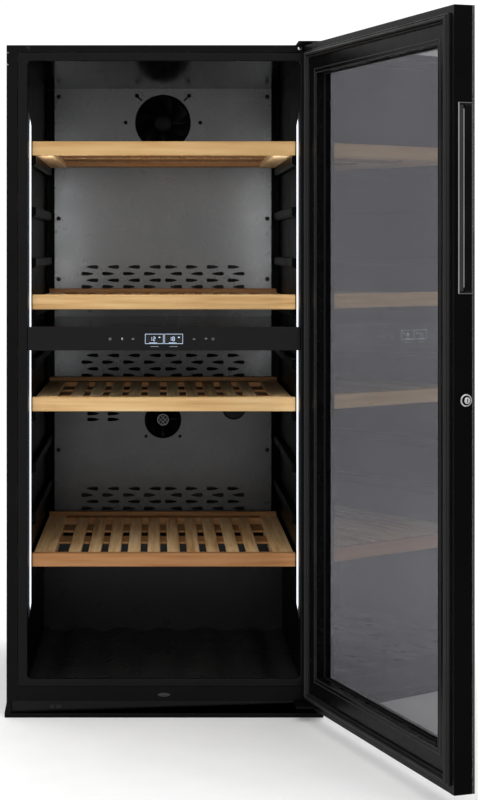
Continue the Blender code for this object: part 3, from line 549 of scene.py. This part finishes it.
def rack(number):
    """A shelf's slatted rack: slats on cross rails, between two side rails, with a stop behind; the back
    rail, cross rails and stop take a darker beech of painted shade.
    """
    low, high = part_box(f"shelf_{number}_rack")
    bm = bmesh.new()
    inner = high.x - SIDE_RAIL
    reach = inner + RAIL_OVERLAP
    for side in (-1, 1):
        ends = sorted((side * inner, side * high.x))
        add_block(bm, (ends[0], low.y, low.z), (ends[1], high.y, high.z), 0.0025, 3)
    start = (-reach, high.y - SIDE_RAIL, low.z + 0.001)
    add_block(bm, start, (reach, high.y - 0.0005, high.z - 0.0004), 0.0022, 3, 1)
    top = high.z - RAIL_DROP
    for y, wide in CROSS_RAILS:
        add_block(bm, (-reach, y, top - RAIL_THICK), (reach, y + wide, top), 0.0015, 2, 1)
    start = (-high.x + 0.001, high.y - STOP_DEEP, high.z - 0.002)
    add_block(bm, start, (high.x - 0.001, high.y - 0.0005, high.z + STOP_RISE), 0.0020, 3, 1)
    for i in range(SLAT_COUNT):
        x = SLAT_PITCH * (i - (SLAT_COUNT - 1) / 2)
        start = (x - SLAT_WIDTH / 2, low.y + 0.0003, high.z - SLAT_THICK)
        end = (x + SLAT_WIDTH / 2, high.y - SIDE_RAIL + RAIL_OVERLAP, high.z - 0.0006)
        add_block(bm, start, end, 0.0030, 3)
    made = piece(f"shelf_{number}_slats", bm, [GRAIN_PALE, GRAIN_SHADED], f"shelf_{number}", 50.0)
    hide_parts(f"shelf_{number}_rack")


# ---------------------------------------------------------------- duct panels


def teardrop(direction):
    """A hole's outline: a blunt end one way, nearly straight sides, and a narrow end the other."""
    blunt, tip = HOLE_RADIUS, HOLE_RADIUS * 0.34
    reach = HOLE_LENGTH / 2
    points = []
    for i in range(9):
        angle = -math.pi / 2 + math.pi * i / 8
        points.append((direction * (reach - blunt + blunt * math.cos(angle)), blunt * math.sin(angle)))
    points.append((direction * -reach * 0.15, blunt * 0.88))
    for i in range(5):
        angle = math.pi / 2 + math.pi * i / 4
        points.append((direction * (-reach + tip + tip * math.cos(angle)), tip * math.sin(angle)))
    points.append((direction * -reach * 0.15, -blunt * 0.88))
    return points


def hole_rows(rows):
    """Centres of staggered rows of holes, with the way each hole points."""
    centres = []
    for row, z in enumerate(rows):
        start, way = HOLE_STARTS[row % 2], (-1, 1)[row % 2]
        for side in (-1, 1):
            centres += [(side * (start + HOLE_PITCH * k), z, way * side) for k in range(4)]
    return centres


def cut_holes(sheet, holes, y):
    """Cuts teardrop holes through a sheet."""
    bm = bmesh.new()
    for x, z, way in holes:
        place = Matrix.Translation((x, y, z)) @ Matrix.Rotation(math.pi / 2, 4, "X")
        add_prism(bm, teardrop(way), -0.006, 0.006, place)
    bmesh.ops.recalc_face_normals(bm, faces=bm.faces)
    mesh = bpy.data.meshes.new("holes")
    bm.to_mesh(mesh)
    bm.free()
    cutter = bpy.data.objects.new("holes", mesh)
    bpy.context.scene.collection.objects.link(cutter)
    cut = sheet.modifiers.new("cut", "BOOLEAN")
    cut.operation = "DIFFERENCE"
    cut.solver = "EXACT"
    cut.object = cutter
    bpy.context.view_layer.update()
    baked = bpy.data.meshes.new_from_object(sheet.evaluated_get(bpy.context.evaluated_depsgraph_get()))
    sheet.modifiers.clear()
    sheet.data = baked
    bpy.data.objects.remove(cutter)


def duct_panel(zone, groups):
    """The face of a zone's air duct, perforated by groups of holes, with screws at its sides."""
    name = f"duct_panel_{zone}"
    node = NODES[name]
    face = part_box(name)[0].y
    bm = bmesh.new()
    bm.from_mesh(node.data)
    bmesh.ops.remove_doubles(bm, verts=bm.verts, dist=0.00001)
    made = piece(f"{name}_sheet", bm, node.data.materials[0], "cabinet", 0.0)
    for holes in groups:
        cut_holes(made, holes, face)
    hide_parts(name)
    radius, rows = PANEL_SCREWS[zone]
    spots = [(side * PANEL_SCREW_X, face, z) for side in (-1, 1) for z in rows]
    screws(f"{zone}_panel_screws", spots, (0, -1, 0), radius, "cabinet", [DARK_STEEL, PAINTED_SHADE])


def duct_panels():
    """The panels of both zones; the lower one has four odd holes beside its fan."""
    odd = [(-x, z, -1) for z in ODD_ROWS for x in ODD_COLUMNS]
    duct_panel("upper", [hole_rows(UPPER_ROWS)])
    duct_panel("lower", [hole_rows(LOWER_ROWS) + odd, hole_rows(FOOT_ROWS)])


# ---------------------------------------------------------------- fans


def blade_grid(hub, radius, width, start):
    """Points of a pitched and swept blade, in rows from the hub to the tip."""
    grid = []
    for i in range(BLADE_STEPS):
        share = i / (BLADE_STEPS - 1)
        reach = hub * 0.97 + (radius - hub * 0.97) * share
        row = []
        for j in range(5):
            across = j / 4
            angle = start + BLADE_SWEEP * share + BLADE_SPAN * across
            lift = width * (0.12 + 0.76 * across) - width * 0.10 * math.sin(math.pi * across)
            row.append((reach * math.cos(angle), reach * math.sin(angle), lift))
        grid.append(row)
    return grid


def add_blade(bm, place, grid):
    """A thin closed blade on both sides of a grid of points."""
    last = BLADE_STEPS - 1
    layers = []
    for offset in (-BLADE_HALF, BLADE_HALF):
        rows = [[Vector((x, y, z + offset)) for x, y, z in row] for row in grid]
        layers.append([[bm.verts.new(place @ point) for point in row] for row in rows])
    for layer in layers:
        for i in range(last):
            for j in range(4):
                bm.faces.new((layer[i][j], layer[i + 1][j], layer[i + 1][j + 1], layer[i][j + 1]))
    rim = [(i, 0) for i in range(BLADE_STEPS)] + [(last, j) for j in range(1, 5)]
    rim += [(i, 4) for i in range(last - 1, -1, -1)] + [(0, j) for j in range(3, 0, -1)]
    for (a, b), (c, d) in zip(rim, rim[1:] + rim[:1]):
        bm.faces.new((layers[0][a][b], layers[0][c][d], layers[1][c][d], layers[1][a][b]))


def fan_blades(bm, centre, radius, axis, width):
    """Blades round a capped hub."""
    hub = radius * 0.36
    cap = ((hub, 0.0), (hub, width * 0.8), (hub * 0.9, width * 0.95), (hub * 0.5, width), (0.0, width))
    add_turned(bm, cap, centre, axis, 36)
    place = axis_frame(centre, axis)
    for blade in range(BLADE_COUNT):
        add_blade(bm, place, blade_grid(hub, radius, width, 2 * math.pi * blade / BLADE_COUNT))


def rotor(name, axis, body):
    """A rotor inside its CAD node's box."""
    low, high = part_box(name)
    middle = (low + high) / 2
    if axis[1]:
        radius, width = (high.z - low.z) / 2, high.y - low.y
        centre = Vector((middle.x, high.y, middle.z))
    else:
        radius, width = (high.z - low.z) / 2, high.x - low.x
        centre = Vector((low.x, middle.y, middle.z))
    bm = bmesh.new()
    fan_blades(bm, centre, radius * 0.995, axis, width * 0.98)
    made = piece(f"{name}_blades", bm, FAN, body, 45.0)
    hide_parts(name)
    return centre, width


def fan_surround():
    """Dark slots and dark dots of painted shade round the upper fan, screws beside the lower one."""
    low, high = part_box("fan_frame_upper")
    middle = (low + high) / 2
    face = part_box("duct_panel_upper")[0].y
    bm = bmesh.new()
    for side in (-1, 1):
        place = Matrix.Translation((middle.x + side * 0.0525, face, middle.z + 0.0540))
        turn = Matrix.Rotation(math.pi / 2, 4, "X") @ Matrix.Rotation(side * math.radians(46), 4, "Z")
        add_prism(bm, bar(0.0, 0.0, 0.0080, 0.0018), -0.0002, 0.0004, place @ turn)
        upper = (middle.x + side * 0.0578, face, middle.z + 0.0595)
        add_turned(bm, ((0.0046, 0.0), (0.0046, 0.0008), (0.0, 0.0014)), upper, (0, -1, 0), 18)
        beside = (middle.x + side * 0.0827, face, middle.z)
        add_turned(bm, ((0.0042, 0.0), (0.0040, 0.0010), (0.0, 0.0016)), beside, (0, -1, 0), 18)
    piece("fan_surround", bm, PAINTED_SHADE, "cabinet", 40.0)
    low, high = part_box("fan_frame_lower")
    middle = (low + high) / 2
    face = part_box("duct_panel_lower")[0].y
    spots = [(middle.x + side * 0.0375, face, middle.z - 0.0360) for side in (-1, 1)]
    screws("fan_screws_front", spots, (0, -1, 0), 0.0036, "cabinet", [DARK_STEEL, PAINTED_SHADE])


def hub_badge():
    """The pale ring and cross on the lower fan's hub."""
    low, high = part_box("fan_rotor_lower")
    middle = (low + high) / 2
    bm = bmesh.new()
    centre = (middle.x, low.y + 0.0006, middle.z)
    profile = ((0.0128, 0.0), (0.0128, 0.0005), (0.0108, 0.0005), (0.0108, 0.0))
    add_turned(bm, profile, centre, (0, -1, 0), 36)
    place = axis_frame(centre, (0, -1, 0))
    for turn in (45, -45):
        spin = place @ Matrix.Rotation(math.radians(turn), 4, "Z")
        for shift in (-0.0032, 0.0032):
            add_prism(bm, bar(0.0, shift, 0.0095, 0.0007), 0.0, 0.0004, spin)
    piece("hub_badge", bm, PANEL, "fan_rotor_lower", 30.0)


def fans():
    """The three rotors and what is fixed round the circulation fans."""
    for zone in ("upper", "lower"):
        rotor(f"fan_rotor_{zone}", (0, -1, 0), f"fan_rotor_{zone}")
    rotor("condenser_fan_rotor", (1, 0, 0), "condenser_fan_rotor")
    fan_surround()
    hub_badge()


# ---------------------------------------------------------------- controls

# The segments of each digit, and each segment's column, share of the height and whether it lies flat
SEGMENTS = {"1": "bc", "2": "abged", "8": "abcdefg"}
BARS = {
    "a": (0, 1, 1),
    "b": (1, 0.5, 0),
    "c": (1, 0, 0),
    "d": (0, 0, 1),
    "e": (0, 0, 0),
    "f": (0, 0.5, 0),
    "g": (0, 0.5, 1),
}


def add_print(bm, left, right, low, high, face, edge=PRINT_ROUND):
    """A thin raised rectangle on a face that looks along -Y."""
    add_block(bm, (left, face, low), (right, face + PRINT_RISE, high), edge, 1)


def add_digit(bm, digit, x, z, y, height):
    """A seven-segment digit standing on a face that looks along -Y."""
    wide, thick = height * 0.5, height * 0.11
    for key in SEGMENTS[digit]:
        across, up, flat = BARS[key]
        base = z + up * height
        if flat:
            add_print(bm, x + thick, x + wide, base - thick / 2, base + thick / 2, y, thick * 0.2)
        else:
            left, end = x + across * wide, base + height / 2
            add_print(bm, left, left + thick, base + thick * 0.7, end - thick * 0.7, y, thick * 0.2)


def display():
    """Two framed temperatures side by side behind the lens, each with a mark under it."""
    low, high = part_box("display_lens")
    face = low.y - 0.0002
    bm = bmesh.new()
    height = (high.z - low.z) * 0.34
    base = low.z + (high.z - low.z) * 0.33
    foot, top = low.z + 0.0015, high.z - 0.0015
    line = 0.0005
    for text, left in (("12", low.x + 0.0010), ("18", 0.0010)):
        right = left + high.x - 0.0020
        for edge in (left, right - line):
            add_print(bm, edge, edge + line, foot, top, face)
        for edge in (foot, top - line):
            add_print(bm, left, right, edge, edge + line, face)
        for i, digit in enumerate(text):
            add_digit(bm, digit, left + 0.0085 + i * height * 0.86, base, face, height)
        add_print(bm, right - 0.0090, right - 0.0060, base + height * 0.8, base + height, face)
        add_print(bm, left + 0.008, right - 0.012, low.z + 0.0030, low.z + 0.0036, face)
    piece("display_digits", bm, DIGIT, "cabinet", 0.0)
    bm = bmesh.new()
    for left in (-0.0255, 0.0105):
        add_print(bm, left, left + 0.015, low.z - 0.0042, low.z - 0.0034, face)
    piece("display_labels", bm, ICON, "cabinet", 0.0)


def ring_mark(steps=20, inner=0.78):
    """Outlines of a ring with a gap at its top, and a stroke in the gap."""
    outlines = []
    for i in range(3, steps - 2):
        ends = [math.pi / 2 + 2 * math.pi * (i + k) / steps for k in (0, 1)]
        near = [(math.cos(angle), math.sin(angle)) for angle in ends]
        far = [(inner * math.cos(angle), inner * math.sin(angle)) for angle in reversed(ends)]
        outlines.append(near + far)
    return outlines + [[(-0.1, 0.2), (0.1, 0.2), (0.1, 1.1), (-0.1, 1.1)]]


def bulb_mark(steps=20):
    """Outlines of a round bulb and its cap."""
    around = [2 * math.pi * i / steps for i in range(steps)]
    bulb = [(0.7 * math.cos(angle), 0.25 + 0.7 * math.sin(angle)) for angle in around]
    return [bulb, bar(0.0, -0.8, 0.3, 0.2)]


def chevron(way):
    """Outline of an arrow head that points up or down."""
    points = ((-1, -0.5), (0, 0.6), (1, -0.5), (0.7, -0.75), (0, 0.2), (-0.7, -0.75))
    return [[(x, way * y) for x, y in points]]


MARKS = {
    "ring": ring_mark(),
    "bulb": bulb_mark(),
    "up": chevron(1),
    "down": chevron(-1),
    "bar": [bar(0.0, -0.375, 1.0, 0.125), bar(0.0, 0.425, 1.0, 0.125)],
}
KEYS = (
    ("ring", -0.102),
    ("bulb", -0.079),
    ("bar", -0.0585),
    ("up", 0.0565),
    ("down", 0.0795),
    ("ring", 0.0925),
)


def key_marks():
    """Touch key marks on both sides of the display, each a small printed outline."""
    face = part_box("control_fascia")[0].y + 0.0001
    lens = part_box("display_lens")
    z = (lens[0].z + lens[1].z) / 2
    bm = bmesh.new()
    for kind, column in KEYS:
        place = Matrix.Translation((column, face, z)) @ Matrix.Rotation(math.pi / 2, 4, "X")
        for outline in MARKS[kind]:
            add_prism(bm, [(x * KEY_SIZE, y * KEY_SIZE) for x, y in outline], 0.0, KEY_RISE, place)
    piece("key_marks", bm, ICON, "cabinet", 0.0)


# ---------------------------------------------------------------- door


def gasket():
    """The door seal: a ribbed base with a soft bulb, running round the door."""
    inner, outer = DOOR_INNER + 0.0003, -0.0004
    rise = outer - inner
    profile = [(0.0, inner), (0.0, inner + rise * 0.30)]
    profile += hump(0.0003, 0.0030, inner + rise * 0.30, rise * 0.22, 5)
    profile += hump(0.0034, 0.0106, inner + rise * 0.35, rise * 0.65, 8)
    profile += hump(0.0110, 0.0137, inner + rise * 0.30, rise * 0.22, 5)
    profile += [(0.0140, inner + rise * 0.30), (0.0140, inner)]
    bm = bmesh.new()
    inset = GASKET_INSET
    add_ring(bm, profile, DOOR_HALF - inset, DOOR_LOW + inset, DOOR_HIGH - inset)
    made = piece("door_seal", bm, GASKET, "door", 40.0, DOOR)
    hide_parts("door_gasket")


def door_trims():
    """Raised lips beside the seal, lighter grey as painted highlights, and a bead round the pane."""
    bm = bmesh.new()
    half, low, high = OPENING
    for start, wide, rise in ((-0.0088, 0.0016, 0.0008), (-0.0016, 0.0014, 0.0007)):
        profile = [(start, DOOR_INNER - 0.0004)] + hump(start, start + wide, DOOR_INNER, rise, 6)
        profile.append((start + wide, DOOR_INNER - 0.0004))
        add_ring(bm, profile, half, low, high)
    piece("door_lips_painted_highlight", bm, HIGHLIGHT_GREY, "door", 40.0, DOOR)
    bm = bmesh.new()
    section = ((0.0, 0.0), (0.0, 0.0022), (0.0006, 0.0030), (0.0018, 0.0026), (0.0026, 0.0001), (0.0026, 0.0))
    profile = [(inset, PANE_FACE + rise) for inset, rise in section]
    add_ring(bm, profile, half + 0.0002, low - 0.0002, high + 0.0002)
    piece("pane_bead", bm, RUBBER, "door", 40.0, DOOR)


def grip_details():
    """The grip in the door's free edge: its bright outline and the line beside its hollow are painted
    highlights, its inner lip is a lighter grey of painted light, and its hollow is a dark block of painted
    shade.
    """
    low, high = GRIP_LIMITS
    front, back = GRIP_FACE - GRIP_PROUD, GRIP_FACE + 0.0006
    bm = bmesh.new()
    add_block(bm, (front, NEAR_HIGHLIGHT[0], low), (back, NEAR_HIGHLIGHT[1], high), 0.0006, 3)
    add_block(bm, (front, FAR_HIGHLIGHT[0], low + 0.002), (back, FAR_HIGHLIGHT[1], high - 0.002), 0.0005, 3, 1)
    for z in (low, high - GRIP_END):
        add_block(bm, (front, END_HIGHLIGHTS[0], z), (back, END_HIGHLIGHTS[1], z + GRIP_END), 0.0005, 3, 1)
    add_block(bm, (front, LIP_HIGHLIGHT[0], low + 0.010), (back, LIP_HIGHLIGHT[1], high - 0.010), 0.0005, 3)
    front = GRIP_FACE - 0.0003
    add_block(bm, (front, GRIP_LIP[0], low + 0.004), (back, GRIP_LIP[1], high - 0.004), 0.0003, 2, 2)
    front = GRIP_FACE - 0.0002
    add_block(bm, (front, GRIP_HOLLOW[0], low + 0.005), (back, GRIP_HOLLOW[1], high - 0.005), 0.0002, 2, 3)
    piece("grip_painted_light_and_shade", bm, [RIDGE_HIGHLIGHT, RIDGE_DIM_HIGHLIGHT, GASKET, PAINTED_SHADE], "door", 40.0, DOOR)


def lock_details():
    """A ring of painted shadow round the lock barrel, and the barrel's key slot as a dark block of painted
    shade.
    """
    y, z = LOCK_CENTRE
    inner, outer = LOCK_SHADOW_RADII
    bm = bmesh.new()
    profile = ((inner, 0.0), (inner, 0.0003), (outer, 0.0003), (outer, 0.0))
    add_turned(bm, profile, (LOCK_FACE, y, z), (-1, 0, 0), 36)
    piece("lock_gap_painted_shadow", bm, PAINTED_SHADE, "door", 30.0, DOOR)
    bm = bmesh.new()
    wide, tall = KEY_SLOT
    start = (BARREL_FACE - 0.0001, y - wide, z - tall)
    add_block(bm, start, (BARREL_FACE + 0.0004, y + wide, z + tall), 0.0001, 1)
    piece("key_slot_painted_shade", bm, PAINTED_SHADE, "lock_barrel", 30.0, DOOR)


def dark_edge():
    """The free edge of the door frame, made darker and duller than its inner face: painted shade."""
    made = bpy.data.objects["door_frame_body"]
    made.data.materials.append(EDGE_SHADE)
    shut = DOOR.inverted()
    for face in made.data.polygons:
        if (shut @ face.center).x < -DOOR_HALF + EDGE_SHADE_SKIN:
            face.material_index = 1


def cabinet_details():
    """Hinge screw, plugs and small screws on the cabinet's front."""
    screws("hinge_screw", [HINGE_SCREW], (0, -1, 0), 0.0034, "cabinet")
    bm = bmesh.new()
    profile = ((0.0036, 0.0), (0.0036, 0.0005), (0.0028, 0.0010), (0.0, 0.0012))
    add_turned(bm, profile, FRONT_PLUG, (0, -1, 0), 24)
    piece("front_plug", bm, FASCIA, "cabinet", 40.0)
    screws("edge_screws", EDGE_SCREWS, (0, -1, 0), 0.0014, "cabinet")
    # The emblem's oval is drawn in the highlight grey: partly its own mark, partly painted highlight
    bm = bmesh.new()
    profile = ((0.0118, 0.0), (0.0118, 0.0003), (0.0102, 0.0006), (0.0, 0.0007))
    squeeze = Matrix.Diagonal((1.0, 1.0, EMBLEM_SQUEEZE, 1.0))
    add_turned(bm, profile, (0.0, 0.0, 0.0), (0, -1, 0), 32)
    bm.transform(Matrix.Translation(EMBLEM_PLACE) @ squeeze)
    piece("rail_emblem", bm, HIGHLIGHT_GREY, "cabinet", 40.0)


def kick_clip():
    """A small steel clip on the recessed kick strip."""
    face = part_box("kick_plate")[0].y
    foot, top = CLIP_HEIGHT
    bm = bmesh.new()
    for x, wide in CLIP_COLUMNS:
        add_block(bm, (x, face - 0.0012, foot), (x + wide, face - 0.0001, top), 0.0005, 2)
    piece("kick_clip", bm, DARK_STEEL, "cabinet", 40.0)


def cradle_highlight_bead():
    """A rounded bead of painted highlight where the wavy floor meets the step behind it."""
    node = NODES["liner_floor"]
    low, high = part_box("liner_floor")
    tops = {}
    for vert in node.data.vertices:
        x, y, z = vert.co
        if y > high.y - 0.001:
            key = round(x, 4)
            tops[key] = max(z, tops.get(key, low.z))
    line = [(x, z) for x, z in sorted(tops.items()) if z > low.z + 0.001]
    bm = bmesh.new()
    rings = []
    around = [2 * math.pi * i / 8 for i in range(8)]
    for x, z in line:
        y = high.y - 0.0008
        points = [(x, y + BEAD_RADIUS * math.cos(a), z + BEAD_RADIUS * math.sin(a)) for a in around]
        rings.append([bm.verts.new(point) for point in points])
    for near, far in zip(rings, rings[1:]):
        for i in range(8):
            bm.faces.new((near[i], near[(i + 1) % 8], far[(i + 1) % 8], far[i]))
    for ring in (rings[0], rings[-1]):
        bm.faces.new(ring)
    piece("cradle_highlight_bead", bm, HIGHLIGHT_GREY, "cabinet", 60.0)


def dimples():
    """Dark discs of painted shade for small dimples in the liner walls, midway between the ledges."""
    bm = bmesh.new()
    profile = ((0.0050, -0.0002), (0.0050, 0.0004), (0.0036, 0.0009), (0.0, 0.0004))
    x, y = WALL_DIMPLE_PLACE
    for side in (-1, 1):
        for z in WALL_DIMPLE_ROWS:
            add_turned(bm, profile, (side * x, y, z), (-side, 0, 0), 20)
    piece("wall_dimple_shade", bm, PAINTED_SHADE, "cabinet", 40.0)


def rear_spots(low, high, middle, inset):
    """Places along the head and foot of a rear sheet: near its ends and at one between them."""
    columns = (low.x + 0.012, middle, high.x - 0.012)
    return [(x, high.y, z) for x in columns for z in (low.z + inset, high.z - inset)]


def back_details():
    """Screws of the rear sheets, contacts of the power inlet."""
    low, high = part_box("back_panel")
    spots = rear_spots(low, high, 0.0, 0.012)
    spots += [(x, high.y, (low.z + high.z) / 2) for x in (low.x + 0.012, high.x - 0.012)]
    screws("back_screws", spots, (0, 1, 0), 0.0036, "cabinet")
    low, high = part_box("rear_cover")
    screws("cover_screws", rear_spots(low, high, 0.012, 0.010), (0, 1, 0), 0.0036, "cabinet")
    low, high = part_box("power_inlet")
    middle = (low + high) / 2
    bm = bmesh.new()
    for x, z in ((-0.007, -0.002), (0.007, -0.002), (0.0, 0.0025)):
        start = (middle.x + x - 0.0010, 0.6462, middle.z + z - 0.0020)
        add_block(bm, start, (middle.x + x + 0.0010, 0.6600, middle.z + z + 0.0020), 0.0004, 2)
    piece("inlet_contacts", bm, STEEL, "cabinet", 40.0)


# ---------------------------------------------------------------- studio


def area(name, place, target, size, power):
    """A square soft light that looks at a target."""
    data = bpy.data.lights.new(name, "AREA")
    data.size = size
    data.energy = power
    light = bpy.data.objects.new(name, data)
    light.location = place
    light.rotation_euler = (Vector(target) - Vector(place)).to_track_quat("-Z", "Y").to_euler()
    bpy.context.scene.collection.objects.link(light)


def strip_lights():
    """The light the two diffusers throw into the cabinet."""
    low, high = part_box("led_strip_right")
    tall = high.z - low.z
    for side in (-1, 1):
        data = bpy.data.lights.new("strip", "AREA")
        data.shape = "RECTANGLE"
        data.size = 0.010
        data.size_y = tall * 0.56
        data.energy = 0.95
        data.color = (0.94, 0.97, 1.0)
        light = bpy.data.objects.new("strip", data)
        light.location = (side * (low.x - 0.0006), 0.066, (low.z + high.z) / 2 + 0.21 * tall)
        light.rotation_euler = Vector((-side, 0.9, 0.0)).to_track_quat("-Z", "Y").to_euler()
        light.visible_camera = False
        bpy.context.scene.collection.objects.link(light)


def studio():
    """A white room, a pale floor and soft lights."""
    world = bpy.data.worlds.new("white_room")
    bpy.context.scene.world = world
    world.use_nodes = True
    ground = world.node_tree.nodes["Background"]
    ground.inputs["Color"].default_value = (1.0, 1.0, 1.0, 1.0)
    ground.inputs["Strength"].default_value = 1.09
    bm = bmesh.new()
    bmesh.ops.create_grid(bm, x_segments=2, y_segments=2, size=12.0)
    mesh = bpy.data.meshes.new("floor")
    bm.to_mesh(mesh)
    bm.free()
    floor = bpy.data.objects.new("floor", mesh)
    bpy.context.scene.collection.objects.link(floor)
    mesh.materials.append(FLOOR)
    area("key", (-1.8, -2.4, 2.6), (0.0, 0.0, 0.7), 1.6, 6.0)
    area("fill", (2.4, -2.0, 1.6), (0.2, 0.0, 0.6), 1.4, 5.0)
    area("overhead", (0.2, -1.7, 3.0), (0.2, -1.0, 0.0), 2.4, 22.0)
    area("back", (0.4, 2.4, 2.4), (0.0, 0.3, 0.8), 1.6, 16.0)
    bpy.context.scene.view_settings.view_transform = "Standard"


def camera():
    """The camera at the photograph's place, level, with a shifted frame."""
    data = bpy.data.cameras.new("camera")
    data.lens = CAMERA_LENS
    data.shift_x, data.shift_y = CAMERA_SHIFT
    cam = bpy.data.objects.new("camera", data)
    cam.location = CAMERA_PLACE
    cam.rotation_euler = (math.pi / 2, 0.0, 0.0)
    bpy.context.scene.collection.objects.link(cam)
    bpy.context.scene.camera = cam


camera()
studio()
strip_lights()
paint_nodes()
for part, width, part_slot in (
    ("door_frame", 0.0012, "black_plastic"),
    ("front_frame", 0.0006, "black_plastic"),
    ("control_fascia", 0.0006, "black_plastic"),
    ("base_frame", 0.0008, "black_sheet"),
    ("hinge_top", 0.0006, "black_sheet"),
    ("hinge_bottom", 0.0005, "black_sheet"),
    ("handle_grip", 0.0004, "black_plastic"),
    ("zone_divider", 0.0010, "divider_core"),
):
    refined(part, width)
refined("glass_outer", 0.0006, 0.0)
for number in range(1, 5):
    rack(number)
duct_panels()
fans()
display()
key_marks()
gasket()
door_trims()
grip_details()
lock_details()
dark_edge()
cabinet_details()
kick_clip()
cradle_highlight_bead()
dimples()
back_details()
